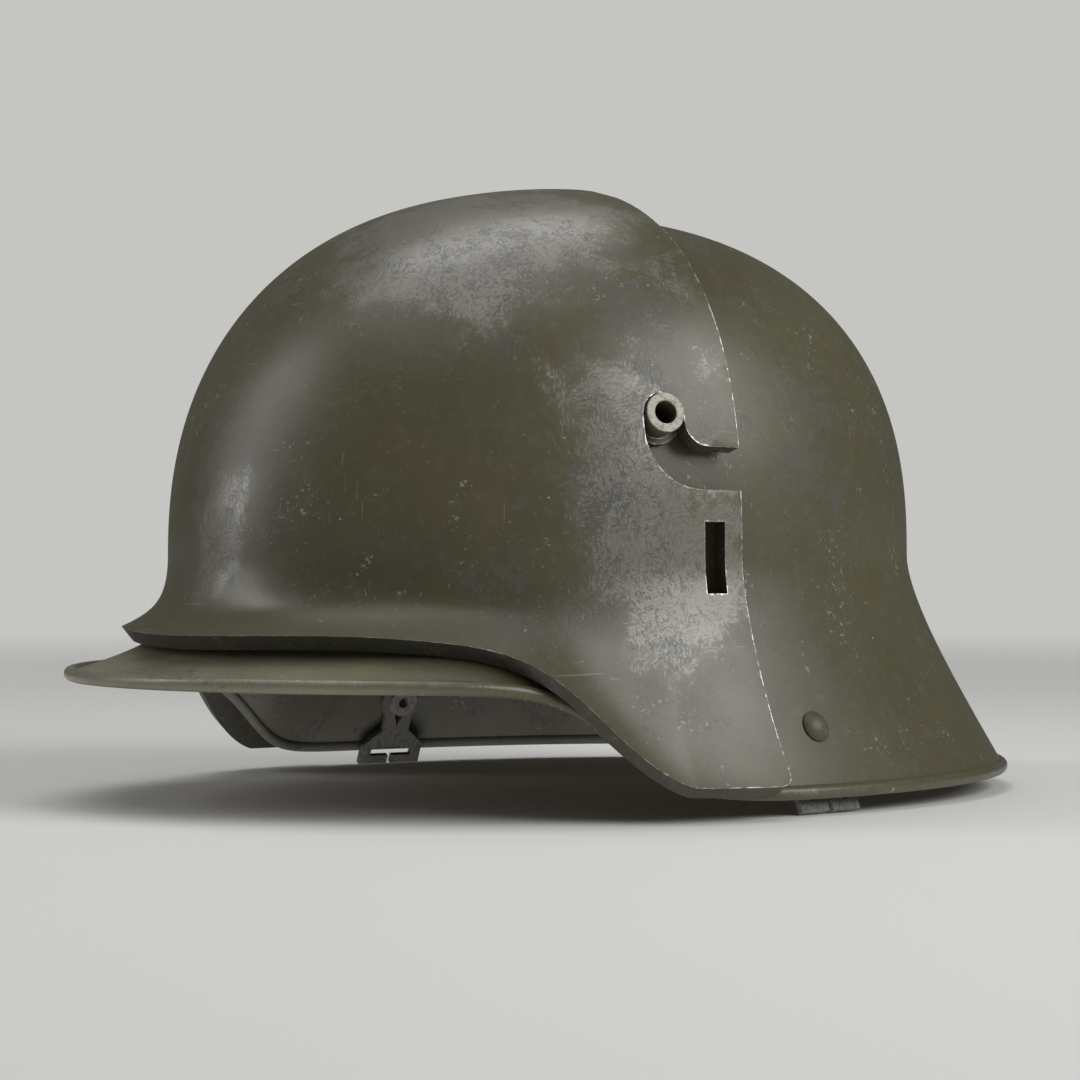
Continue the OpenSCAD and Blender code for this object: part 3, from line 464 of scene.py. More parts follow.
DOME_ROWS, FLARE_ROWS, ROLL_ROWS, ROLL_JOIN = 46, 30, 22, 0.93
a = np.radians(np.concatenate([np.arange(0, 42, 1.2), np.arange(42, 94, 0.6), np.arange(94, 180, 1.3)]))
a = np.concatenate([a, [np.pi], -a[:0:-1]])[:, None]      # columns, closer at the temples' step
reach, height = shell_rim(a)
polar = np.radians(90) * (np.arange(1, DOME_ROWS + 1) / DOME_ROWS)[None, :]
share = ROLL_JOIN * (np.arange(1, FLARE_ROWS + 1) / FLARE_ROWS)[None, :]
roll_start = math.pi - math.asin(half / ROLL_R)
turn = np.linspace(roll_start, -roll_start, ROLL_ROWS)[None, :]
de, dz = flare_curve(a, reach, height, np.ones_like(a))[1]
roll = lift(a + 0 * turn, reach + ROLL_R * (np.cos(turn) * de - np.sin(turn) * dz),
            height + ROLL_R * (np.cos(turn) * dz + np.sin(turn) * de))
whole = [reach + 0 * share, height + 0 * share]
domes = [dome(a + 0 * polar, polar + 0 * a, off) for off in (half, -half)]
flares = [flare(a + 0 * share, whole, share + 0 * a, off) for off in (half, -half)]
rings = np.concatenate([domes[0], flares[0], roll, flares[1][:, ::-1], domes[1][:, ::-1]], 1)
columns, per_column = rings.shape[:2]
points = np.concatenate([rings.reshape(-1, 3), [[0, 0, CROWN_H + half], [0, 0, CROWN_H - half]]])
quads = grid_faces(columns, per_column)
first = np.arange(columns) * per_column
nxt = np.roll(first, -1)
caps = np.concatenate([np.stack([first * 0 + columns * per_column, first, nxt], -1),
                       np.stack([first * 0 + columns * per_column + 1, nxt + per_column - 1,
                                 first + per_column - 1], -1)])
row = quads[:, 0] % per_column
inside = (row >= DOME_ROWS + FLARE_ROWS + ROLL_ROWS // 2 + 2).astype(int)
helmet_shell = mesh_piece("helmet_shell_pressing", points, quads.tolist() + caps.tolist(),
                          [shell_outside, shell_inside_with_painted_light], np.concatenate([inside, np.repeat([0, 1], columns)]))
row_of = np.concatenate([np.tile(np.arange(per_column), columns), [0, per_column - 1]])
# a band along the roll's upper outer side gets more rub and chips: its paler paint is partly wear, partly a
# painted highlight along the bead's top
on_roll = np.exp(-((row_of - (DOME_ROWS + FLARE_ROWS + ROLL_ROWS * 0.30)) / 2.2) ** 2)
# places of paler paint, wear and chips: x, y, z, radius in mm, and amount. The fades and the first
# three rubs lie on the visor's top, which faces up: its paler paint there is partly sun-bleached and rubbed,
# partly painted light.
SHELL_FADES_AND_LIGHT = [(60, -116, 34, 30, 0.7), (22, -136, 34, 36, 0.9), (-40, -132, 34, 40, 0.8)]
SHELL_RUBS = [(66, -112, 34, 34, 0.30), (22, -136, 36, 40, 0.32), (-40, -132, 36, 40, 0.30),
              (70, 60, 130, 40, 0.22), (60, 85, 50, 45, 0.16), (90, 20, 40, 30, 0.20),
              (0, 30, 168, 45, 0.30), (-60, 70, 120, 40, 0.45), (20, 122, 80, 40, 0.45),
              (-100, 40, 30, 35, 0.5), (-30, 140, 24, 35, 0.4), (0, -140, 36, 40, 0.22)]
SHELL_CHIPS = [(88, 25, 105, 30, 0.75), (60, 75, 105, 30, 0.35), (-85, 40, 100, 40, 0.5),
               (0, 110, 110, 50, 0.5), (40, 100, 150, 30, 0.4), (-40, 115, 40, 40, 0.5),
               (45, -140, 35, 25, 0.55)]
set_marks(helmet_shell, rub=spots(points, SHELL_RUBS) + 0.55 * on_roll,
          chip=spots(points, SHELL_CHIPS) + 0.2 * on_roll, fade=np.minimum(spots(points, SHELL_FADES_AND_LIGHT), 1))
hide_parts("helmet_shell")
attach(helmet_shell, "helmet")


# The brow plate: a hardened plate 5 mm thick that follows the dome's front half and hangs from
# the two lugs by a hooked notch on each side. Its sawn edges are worn to bare steel.
PLATE_GAP, PLATE_T, PLATE_REAR = 2.8, 5.0, -5.3
PLATE_IN = half + PLATE_GAP
PLATE_OUT = PLATE_IN + PLATE_T
EAR_H, CORNER_R, EDGE_OUT = -1.8, 5.0, 0.6
LEAVE_AHEAD, LEAVE_RUN, TUCK, TUCK_AHEAD, TUCK_SPREAD = 26, 34, 6.7, 16, 14      # its lower edge, in degrees
SLOT_W, SLOT_H, SLOT_Z, SLOT_INSET = 6.6, 20.2, 66.0, 9.4
LUG_AZIMUTH, LUG_POLAR, LUG_R = math.radians(75.6), math.radians(73.4), 5.75
NOTCH_CLEAR, NOTCH_DROP, NOTCH_MOUTH, NOSE_R, NOTCH_TURN_R, HOOK_SEAT = 0.5, 9.1, 12.2, 7.0, 17.0, 0.3
CHART_WAIST, CHART_FLARE = 168.0, 78.0      # mm of the flat chart from crown to waist, and on to the rim


def s_step(t, m, n):
    """S-shaped step from 0 to 1 that leaves with power m and arrives with power n."""
    u = np.clip(t, 1e-6, 1 - 1e-6)
    return u ** m / (u ** m + (1 - u) ** n)


def plate_rim(azimuth):
    """The plate's lower edge line: reach and height, leaving the visor sooner than the rim does."""
    turn = from_front(azimuth)
    low = s_step((turn - (STEP_AZIMUTH - LEAVE_AHEAD)) / LEAVE_RUN, 3.4, 1.15)
    visor = np.abs(np.cos(azimuth)) ** VISOR_POWER
    reach = SIDE_REACH + EDGE_OUT + (VISOR_REACH - SIDE_REACH - EDGE_OUT) * visor
    reach = reach - TUCK * np.exp(-((turn - (STEP_AZIMUTH - TUCK_AHEAD)) / TUCK_SPREAD) ** 2)
    return reach, VISOR_H * (1 - low) + EAR_H * low


def plate_share(azimuth):
    """Share of the flare that the plate follows: 0.7 at the brow, all of it at the ears."""
    return 0.7 + 0.3 * s_step((from_front(azimuth) - 3) / 79, 2, 2)


def plate_skin(chart, off):
    """Chart point (flat, centred on the crown, distance kept down each profile) to a point in space."""
    azimuth = np.arctan2(chart[:, 0], -chart[:, 1])
    distance = np.hypot(chart[:, 0], chart[:, 1])
    on_dome = dome(azimuth, np.radians(90) * np.minimum(distance / CHART_WAIST, 1), off)
    down = np.clip((distance - CHART_WAIST) / CHART_FLARE, 0, 1.2)
    on_flare = flare(azimuth, plate_rim(azimuth), down, off)
    return np.where((distance < CHART_WAIST)[:, None], on_dome, on_flare)


def chart_point(azimuth, distance):
    """Point of the flat chart at an azimuth and a distance from the crown."""
    return np.stack([distance * np.sin(azimuth), -distance * np.cos(azimuth)], -1)


def settle(start, miss, rounds=12):
    """Newton's method on chart points: moves each until miss(points), two numbers a point, is zero."""
    chart = np.array(start, float)
    nudge = 0.02
    for _ in range(rounds):
        gap = miss(chart)
        jx = (miss(chart + [nudge, 0]) - gap) / nudge
        jy = (miss(chart + [0, nudge]) - gap) / nudge
        det = jx[:, 0] * jy[:, 1] - jy[:, 0] * jx[:, 1]
        dx = (gap[:, 0] * jy[:, 1] - jy[:, 0] * gap[:, 1]) / det
        dy = (jx[:, 0] * gap[:, 1] - gap[:, 0] * jx[:, 1]) / det
        move = np.stack([dx, dy], -1)
        size = np.linalg.norm(move, axis=1, keepdims=True)
        chart -= move * np.minimum(1, 6 / np.maximum(size, 1e-9))
    return chart


def facing(place_of, azimuth, second, nudge):
    """Place and outward unit normal of a surface of azimuth and a second number."""
    a, b = np.array([azimuth]), np.array([second])
    turned_by = place_of(a + math.radians(1), b)[0] - place_of(a - math.radians(1), b)[0]
    raised_by = place_of(a, b - nudge)[0] - place_of(a, b + nudge)[0]
    normal = np.cross(turned_by, raised_by)
    return place_of(a, b)[0], normal / np.linalg.norm(normal)


def dome_face(azimuth, polar):
    """Outer face of the shell's dome."""
    return dome(azimuth, polar, half)


lug_distance = CHART_WAIST * LUG_POLAR / math.radians(90)
lug_foot, lug_axis = facing(dome_face, LUG_AZIMUTH, LUG_POLAR, math.radians(1))
lug_back = np.cross([0, 0, 1.0], lug_axis)
lug_back /= np.linalg.norm(lug_back)
lug_up = np.cross(lug_axis, lug_back)


def lug_view(chart):
    """Distances behind and above the lug's axis, square to it, of chart points on the outer skin."""
    gap = plate_skin(chart, PLATE_OUT) - lug_foot
    return np.stack([gap @ lug_back, gap @ lug_up], -1)


def arc(x, y, radius, start, end, count):
    """Points on an arc, from start to end in degrees."""
    t = np.radians(np.linspace(start, end, count))
    return np.stack([x + radius * np.cos(t), y + radius * np.sin(t)], -1)


def line(p, q, pitch):
    """Points on a straight line at about a pitch, without its last point."""
    p, q = np.asarray(p, float), np.asarray(q, float)
    count = max(1, int(round(np.linalg.norm(q - p) / pitch)))
    return p + (q - p) * (np.arange(count) / count)[:, None]


HOOK_R = LUG_R + NOTCH_CLEAR
NOTCH_LOW = NOTCH_DROP + NOTCH_MOUTH
EDGE_PITCH = 1.1
hook = np.concatenate([
    arc(HOOK_R + NOSE_R, -NOTCH_DROP + NOSE_R, NOSE_R, 270, 180, 11)[:-1],
    line((HOOK_R, -NOTCH_DROP + NOSE_R), (HOOK_R, HOOK_SEAT - NOTCH_CLEAR), EDGE_PITCH),
    arc(0, HOOK_SEAT - NOTCH_CLEAR, HOOK_R, 0, 180, 19)[:-1],
    line((-HOOK_R, HOOK_SEAT - NOTCH_CLEAR), (-HOOK_R, -NOTCH_LOW + NOTCH_TURN_R), EDGE_PITCH),
    arc(-HOOK_R + NOTCH_TURN_R, -NOTCH_LOW + NOTCH_TURN_R, NOTCH_TURN_R, 180, 270, 25)])
lug_chart = chart_point(np.array([LUG_AZIMUTH]), np.array([lug_distance]))
notch = settle(np.repeat(lug_chart, len(hook), 0) + hook * [0.3, 0], lambda c: lug_view(c) - hook)
mouth_rows = np.array([-NOTCH_DROP, -NOTCH_LOW])
mouth = settle(notch[[0, -1]], lambda c: np.stack([plate_skin(c, PLATE_OUT)[:, 1] - PLATE_REAR,
                                                   lug_view(c)[:, 1] - mouth_rows], -1))


def halve(low, high, before):
    """Bisection of whole arrays: the last place between low and high where before(place) holds."""
    for _ in range(48):
        middle = (low + high) / 2
        hold = before(middle)
        low, high = np.where(hold, middle, low), np.where(hold, high, middle)
    return low


def rear_edge(distances):
    """Chart points at these distances from the crown whose outer skin lies in the rear plane."""
    start, end = np.radians(np.full(len(distances), 40.0)), np.radians(np.full(len(distances), 100.0))
    turned = halve(start, end, lambda a: plate_skin(chart_point(a, distances), PLATE_OUT)[:, 1] < PLATE_REAR)
    return chart_point(turned, distances)


def edge_run(p, q):
    """Rear edge between two chart points that lie on it, without the last."""
    d = np.hypot(*np.array([p, q]).T)
    count = max(1, int(round(abs(d[1] - d[0]) / EDGE_PITCH)))
    return rear_edge(d[0] + (d[1] - d[0]) * np.arange(count) / count)


def above_lower(azimuth, gap=0.0):
    """Chart point at a gap above the plate's lower edge."""
    return chart_point(azimuth, CHART_WAIST + CHART_FLARE * plate_share(azimuth) - gap)


# the rounded lower rear corner, set by its distance ahead of the rear plane and above the edge
bend = np.radians(np.linspace(0, 90, 9))
ahead_of_rear, above_edge = CORNER_R * (1 - np.cos(bend)), CORNER_R * (1 - np.sin(bend))
corner_turns = halve(np.full(9, math.radians(60)), np.full(9, math.radians(100)), lambda a: plate_skin(
    above_lower(a, above_edge), PLATE_OUT)[:, 1] < PLATE_REAR - ahead_of_rear)
corner = above_lower(corner_turns, above_edge)
lower = above_lower(np.linspace(corner_turns[-1], 0, 150))[1:]

# the rear edge over the crown, where it crosses the middle plane
crest_azimuths = np.radians(np.linspace(0, 84, 40))
crest_run = chart_point(crest_azimuths, halve(np.full(40, 0.5), np.full(40, 120.0), lambda d: plate_skin(
    chart_point(crest_azimuths, d), PLATE_OUT)[:, 1] > PLATE_REAR))
crest_run = crest_run[np.hypot(*crest_run.T) < 60]
near_run = edge_run(crest_run[-1] * (1 + 1.0 / np.hypot(*crest_run[-1])), mouth[0])
left_half = np.concatenate([crest_run, near_run, mouth[:1], notch, mouth[1:],
                            edge_run(mouth[1], corner[0])[1:], corner, lower])
outline = np.concatenate([left_half, (left_half[1:-1] * [-1, 1])[::-1]])

slot_azimuth = math.acos(-(PLATE_REAR - SLOT_INSET) / (DOME_FRONT + PLATE_OUT))
slot_x, slot_y, slot_nx, slot_ny = (float(v) for v in waist(np.array(slot_azimuth)))
slot_middle = np.array([slot_x + slot_nx * PLATE_OUT, slot_y + slot_ny * PLATE_OUT, SLOT_Z])
slot_back = np.array([-slot_ny, slot_nx, 0])
w, h = SLOT_W / 2, SLOT_H / 2
slot_line = np.concatenate([line((-w, -h), (w, -h), EDGE_PITCH), line((w, -h), (w, h), EDGE_PITCH),
                            line((w, h), (-w, h), EDGE_PITCH), line((-w, h), (-w, -h), EDGE_PITCH)])


def slot_view(chart):
    """Distances behind and above the slot's middle of chart points on the outer skin."""
    gap = plate_skin(chart, PLATE_OUT) - slot_middle
    return np.stack([gap @ slot_back, gap[:, 2]], -1)


slot_start = chart_point(np.full(len(slot_line), slot_azimuth), np.full(len(slot_line), CHART_WAIST))
slot_left = settle(slot_start, lambda c: slot_view(c) - slot_line)
slot_right = (slot_left * [-1, 1])[::-1]


def inside_loop(points, loop):
    """True for points inside a closed loop, by counting the loop's crossings to the right."""
    x, y = points[:, 0][:, None], points[:, 1][:, None]
    x0, y0 = loop[:, 0], loop[:, 1]
    x1, y1 = np.roll(x0, -1), np.roll(y0, -1)
    flat = np.where(np.abs(y1 - y0) < 1e-12, 1e-12, y1 - y0)
    hits = ((y0 > y) != (y1 > y)) & (x < (x1 - x0) * (y - y0) / flat + x0)
    return hits.sum(1) % 2 == 1


def inside_cut(points, loops):
    """True for points inside the first loop and outside all others, which are holes."""
    return inside_loop(points, loops[0]) & ~np.any([inside_loop(points, hole) for hole in loops[1:]], axis=0)


def cut_sheet(loops, pitch, skins, keep_off=0.55):
    """Sheet cut to an outline with holes: a flat triangle net of about a pitch inside the loops
    (outline first, then holes), laid on an outer and an inner skin and closed by walls along every
    loop. skins are two functions of flat points. Gives points, faces, each face's part (0 outer
    skin, 1 inner skin, 2 wall) and each point's mark, 1 on the loops."""
    edge_points = np.concatenate(loops)
    low, high = loops[0].min(0), loops[0].max(0)
    rows = [(y, np.arange(low[0] + (k % 2) * pitch / 2, high[0], pitch))
            for k, y in enumerate(np.arange(low[1], high[1], pitch * 0.866))]
    net = np.concatenate([np.stack([x, np.full(len(x), y)], -1) for y, x in rows])
    net = net[inside_cut(net, loops)]
    clear = np.ones(len(net), bool)
    for part in np.array_split(np.arange(len(net)), max(1, len(net) // 2000)):
        gaps = np.linalg.norm(net[part][:, None] - edge_points[None], axis=2).min(1)
        clear[part] = gaps > pitch * keep_off
    net = net[clear]
    flat = np.concatenate([edge_points, net])
    starts = np.cumsum([0] + [len(loop) for loop in loops])
    ids = [np.arange(start, end) for start, end in zip(starts[:-1], starts[1:])]
    borders = np.concatenate([np.stack([run, np.roll(run, -1)], -1) for run in ids])
    made = delaunay_2d_cdt([Vector(p) for p in flat.tolist()], [tuple(e) for e in borders.tolist()],
                           [], 0, 1e-7)
    flat = np.array([tuple(v) for v in made[0]])
    triangles = np.array([list(t) for t in made[2]])
    triangles = triangles[inside_cut(flat[triangles].mean(1), loops)]
    outer, inner = skins[0](flat), skins[1](flat)
    middle = triangles[len(triangles) // 2]
    corners = outer[middle]
    normal = np.cross(corners[1] - corners[0], corners[2] - corners[0])
    if normal @ (outer - inner)[middle].mean(0) < 0:
        triangles = triangles[:, ::-1]
    sides = np.concatenate([triangles[:, [0, 1]], triangles[:, [1, 2]], triangles[:, [2, 0]]])
    size = len(flat)
    key = sides[:, 0] * size + sides[:, 1]
    lone = sides[~np.isin(key, sides[:, 1] * size + sides[:, 0])]
    walls = np.stack([lone[:, 1], lone[:, 0], lone[:, 0] + size, lone[:, 1] + size], -1)
    faces = triangles.tolist() + (triangles[:, ::-1] + size).tolist() + walls.tolist()
    part = np.repeat([0, 1, 2], [len(triangles), len(triangles), len(walls)])
    rim_marks = np.zeros(size)
    rim_marks[:len(edge_points)] = 1
    return np.concatenate([outer, inner]), faces, part, np.tile(rim_marks, 2)


def add_modifier(thing, kind, **settings):
    """Adds a finishing modifier with its settings."""
    modifier = thing.modifiers.new(kind.lower(), kind)
    for name, value in settings.items():
        setattr(modifier, name, value)


def round_edges(thing, width, sharp, **settings):
    """Rounds edges sharper than an angle in degrees, over a width in mm."""
    add_modifier(thing, "BEVEL", width=width * MM, limit_method="ANGLE", angle_limit=math.radians(sharp),
                 **settings)


# edges that are worn through: paint stays in some stretches, bright bare steel shows in others
r, (where, paint, bare, kept_low, kept_high) = new_group(
    "worn_edge", ["Where"], ["Paint", "Bare"], ["Kept Low", "Kept High"], ["Metallic"])
level = r.noise(where, 16, 3, 0.6) * 0.7 + r.noise(where, 1.1, 3, 0.7)
worn = level.step(0.87, 0.98) * r.put("SeparateXYZ", "Z", Vector=where).step(kept_low, kept_high, 0.25, 1)
worn_edge = r.give(Color=r.tint(worn, paint, bare), Metallic=worn * 0.75)


def bare_edge(name, paint, bare, kept_below=-50.0):
    """Material of a worn edge. Below a height in mm most of the paint is kept."""
    material, r, shader, place = new_finish(name)
    edge = r.put("Group", "Color", node_tree=worn_edge, Where=place, Paint=paint, Bare=bare,
                 Kept_Low=(kept_below - 6) * MM, Kept_High=(kept_below + 6) * MM)
    r.fill(shader, Base_Color=edge, Metallic=edge.beside("Metallic"), Roughness=0.38)
    return material


# how much sooner the inner skin ends at the brow, how far up that reaches, and where it fades out
BROW_SLOPE, SLOPE_H, SLOPE_FROM, SLOPE_OVER = 2.0, 8, 20, 45


def plate_inside(chart):
    """Inner skin: along the brow it ends a little above the outer one, so the sawn face slopes in."""
    azimuth = np.arctan2(chart[:, 0], -chart[:, 1])
    distance = np.hypot(chart[:, 0], chart[:, 1])
    above = CHART_WAIST + CHART_FLARE * plate_share(azimuth) - distance
    fade = 1 - s_step((from_front(azimuth) - SLOPE_FROM) / SLOPE_OVER, 2, 2)
    short = BROW_SLOPE * np.clip(1 - above / SLOPE_H, 0, 1) * fade
    return plate_skin(chart_point(azimuth, distance - short), PLATE_IN)


plate_outside = painted("plate_outside_paint", OLIVE, edge=None)
# the plate's inner face and sawn faces are near black: the steel's own dark tone, deepened into painted shade
# of the gap beneath the plate's edge
plate_sawn_and_shade = painted("plate_inner_and_sawn_face_painted_shade", (0.030, 0.0275, 0.020, 1), 0.55, rub=0.0, chip=0.15, bump=0.2)
plate_bright = bare_edge("plate_worn_edge", (0.115, 0.107, 0.080, 1), (0.42, 0.40, 0.36, 1), kept_below=26)
PLATE_PITCH, PLATE_ROUND = 2.0, 0.24
points, faces, part, rim_marks = cut_sheet([outline, slot_left, slot_right], PLATE_PITCH,
                                        [lambda c: plate_skin(c, PLATE_OUT), plate_inside])
brow_plate = mesh_piece("brow_plate_forging", points, faces, [plate_outside, plate_sawn_and_shade, plate_bright],
                        np.array([0, 1, 1])[part])
# worn places: x, y, z, radius in mm, and amount
PLATE_RUBS = [(5, -118, 86, 12, 0.55), (5, -118, 72, 14, 0.60), (5, -118, 60, 13, 0.70),
              (18, -116, 84, 11, 0.5), (41, -69, 150, 24, 0.90), (40, -60, 160, 42, 0.32),
              (10, -30, 172, 45, 0.45), (58, -29, 160, 20, 0.80), (70, -60, 145, 28, 0.30),
              (100, -35, 90, 26, 0.62), (105, -30, 64, 28, 0.74), (110, -34, 45, 20, 0.52),
              (100, -10, 60, 24, 0.55), (95, -50, 110, 22, 0.45), (88, -12, 135, 26, 0.42),
              (-60, -70, 150, 35, 0.70), (-104, -32, 62, 34, 0.78), (-92, -45, 105, 24, 0.60),
              (-60, -100, 80, 30, 0.4), (0, -60, 168, 35, 0.4)]
PLATE_CHIPS = [(45, -70, 152, 24, 0.95), (70, -50, 148, 22, 0.7), (100, -44, 92, 17, 0.9),
               (106, -40, 55, 18, 0.75), (96, -70, 62, 20, 0.5), (85, -30, 128, 22, 0.7),
               (20, -115, 82, 12, 0.8), (98, -78, 52, 18, 0.7), (112, -32, 42, 15, 0.8),
               (-80, -50, 130, 30, 0.7), (-105, -20, 60, 25, 0.8), (-50, -105, 70, 25, 0.6)]
set_marks(brow_plate, rub=spots(points, PLATE_RUBS), chip=spots(points, PLATE_CHIPS), edge=rim_marks)
round_edges(brow_plate, PLATE_ROUND, 40, segments=2, material=2, harden_normals=True)
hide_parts("brow_plate")
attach(brow_plate, "brow_plate")


# The fittings stay as the solids have them: lugs, washers, strap posts, brackets, split pins and
# rivets of turned or stamped steel. Their edges get a small worn round, the lugs' outer ends and the
# posts' inner ends are bare steel, and the shell is drilled for the lugs, the posts and the pins.
POST_AZIMUTH, POST_SHARE, POST_HOLE_R, LUG_HOLE_R = math.radians(96.4), 0.72, 3.05, 4.45
PIN_AZIMUTHS, PIN_POLAR, PIN_HOLE_R = (50, 180, -50), math.radians(88), 1.95
DRILL_SIDES, DRILL_HALF, NUDGE = 40, 12.0, 0.02      # the nudge finds a surface's slope


def drill_bit(place, axis, radius):
    """Points and faces of one cylinder through a place along an axis."""
    side_way = np.cross(axis, [0.3, 0.2, 1.0])
    side_way /= np.linalg.norm(side_way)
    other = np.cross(axis, side_way)
    t = np.arange(DRILL_SIDES) / DRILL_SIDES * 2 * np.pi
    circle = radius * (np.cos(t)[:, None] * side_way + np.sin(t)[:, None] * other)
    spots_on = np.concatenate([place + circle - axis * DRILL_HALF, place + circle + axis * DRILL_HALF])
    n = DRILL_SIDES
    walls = [[i, (i + 1) % n, (i + 1) % n + n, i + n] for i in range(n)]
    return spots_on, walls + [list(range(n))[::-1], list(range(n, 2 * n))]


def flare_face(azimuth, share):
    """Outer face of the shell's flare."""
    return flare(azimuth, shell_rim(azimuth), share, half)


post_foot, post_axis = facing(flare_face, POST_AZIMUTH, POST_SHARE, NUDGE)
left_pin, rear_pin = [(*facing(dome_face, math.radians(a), PIN_POLAR, NUDGE), PIN_HOLE_R)
                      for a in PIN_AZIMUTHS[:2]]
drills = [(lug_foot, lug_axis, LUG_HOLE_R), (post_foot, post_axis, POST_HOLE_R), left_pin]
drills += [(place * [-1, 1, 1], axis * [-1, 1, 1], radius) for place, axis, radius in drills] + [rear_pin]
drill_points, drill_faces = [], []
for place, axis, radius in drills:
    spots_on, walls = drill_bit(place, axis, radius)
    drill_faces += [[v + len(drill_points) * 2 * DRILL_SIDES for v in face] for face in walls]
    drill_points.append(spots_on)
drill = mesh_piece("drill", np.concatenate(drill_points), drill_faces, smooth=False)
add_modifier(helmet_shell, "BOOLEAN", object=drill, operation="DIFFERENCE", solver="EXACT")
drilled = bpy.data.meshes.new_from_object(helmet_shell.evaluated_get(bpy.context.evaluated_depsgraph_get()))
helmet_shell.modifiers.clear()
helmet_shell.data = drilled
drilled.set_sharp_from_angle(angle=math.radians(50))
bpy.data.objects.remove(drill)

fitting_paint = painted("fitting_paint", (0.084, 0.077, 0.045, 1), 0.44, rub=0.10, chip=0.4)
bracket_steel = painted("bracket_steel", (0.185, 0.180, 0.160, 1), 0.46, rub=0.25, chip=0.6)
bright_edge = bare_edge("fitting_worn_edge", (0.19, 0.18, 0.15, 1), (0.60, 0.57, 0.52, 1))


# bare ends of turned pieces: a height along the axis, made a little ragged, parts paint from steel
r, (where, axis, paint, steel, dull, metal, rough, low, high, at_low, at_high) = new_group(
    "bare_end", ["Where", "Axis"], ["Paint", "Steel", "Dull"],
    ["Paint Metallic", "Paint Roughness", "Low", "High", "At Low", "At High"], ["Metallic", "Roughness"])
x, along = r.put("SeparateXYZ", Vector=where), r.put("SeparateXYZ", Vector=axis)
height = abs(x) * along + x.beside(1) * along.beside(1) + x.beside(2) * along.beside(2)
bare = (height + (r.noise(where, 1.6, 4, 0.7) - 0.5) * (0.5 * MM)).step(low, high, at_low, at_high)
grime = r.noise(where, 1.4, 5, 0.75).step(0.48, 0.60, 0.0, 0.70)
bare_end = r.give(Color=r.tint(bare, paint, r.tint(grime, steel, dull)),
                  Metallic=r.put("Mix", _0=bare, _2=metal, _3=0.3),
                  Roughness=r.put("Mix", _0=bare, _2=rough, _3=0.5))


def half_bare(name, foot, axis, painted_at, bare_at, steel, dull):
    """Fitting paint on one end of a turned piece and bare steel on the other, told apart by the
    distance in mm from its foot along its axis. Pieces on the right are mirrored, so X is unsigned."""
    material = fitting_paint.copy()
    material.name = name
    shader = material.node_tree.nodes["Principled BSDF"]
    r = Recipe(material.node_tree)
    under = Wire(r, shader.inputs["Base Color"].links[0].from_socket)
    origin, (low, high) = float(foot @ axis), sorted((painted_at, bare_at))
    end = r.put("Group", "Color", node_tree=bare_end, Where=r.put("TexCoord", "Object"), Axis=axis,
                Paint=under, Paint_Metallic=under.beside("Metallic"),
                Paint_Roughness=under.beside("Roughness"), Steel=steel, Dull=dull,
                Low=(origin + low) * MM, High=(origin + high) * MM,
                At_Low=float(low == bare_at), At_High=float(high == bare_at))
    r.fill(shader, Base_Color=end, Metallic=end.beside("Metallic"), Roughness=end.beside("Roughness"))
    return material


lug_end = PLATE_GAP + PLATE_T + 1.5      # the lug's length from the shell's face
lug_paint = half_bare("lug_paint_and_end", lug_foot, lug_axis, lug_end - 0.3, lug_end - 0.1,
                      (0.33, 0.305, 0.260, 1), (0.12, 0.107, 0.085, 1))
post_paint = half_bare("post_paint_and_journal", post_foot, post_axis, -SHEET_T, -SHEET_T - 0.6,
                       (0.26, 0.253, 0.225, 1), (0.12, 0.116, 0.100, 1))
for width, material, names in (
        (0.22, fitting_paint, ("split_pin_left", "split_pin_right", "split_pin_rear")),
        (0.22, post_paint, ("strap_post_left", "strap_post_right")),
        (0.25, lug_paint, ("vent_lug_left", "vent_lug_right")),
        (0.17, bracket_steel, ("strap_bracket_left", "strap_bracket_right", "pin_washers", "pad_rivets",
                               "lug_washer_left", "lug_washer_right"))):
    for name in names:
        nodes[name].data.materials.clear()
        for finish in (material, bright_edge):
            nodes[name].data.materials.append(finish)
        add_modifier(nodes[name], "WELD", merge_threshold=0.01 * MM)
        round_edges(nodes[name], width, 35, segments=2, material=1, harden_normals=False)


# The liner band: a strip of thick leather bent round inside the waist, its ends butted behind the
# left temple. Three split pins hold it to the shell and nine rivets hold the pads to it.
BAND_GAP, BAND_T, BAND_LOW, BAND_HIGH, BAND_ROUND = 1.7, 2.0, 52.0, 76.0, 0.45
BAND_OUT = -(half + BAND_GAP)
BAND_IN = BAND_OUT - BAND_T
BAND_SCALE, BAND_JOINT, BAND_SLIT = 1.75, 150.0, 0.2     # mm of chart a degree, the ends' azimuth and gap
RIVET_Z, RIVET_HOLE_R, PIN_Z = 59.0, 1.45, 72.4
PAD_CENTRES, RIVET_TURNS = (60, 180, -60), (-42, 0, 42)


def ring(x, y, radius, count=16):
    """Closed loop of points on a circle."""
    return arc(x, y, radius, 0, 360, count + 1)[:-1]


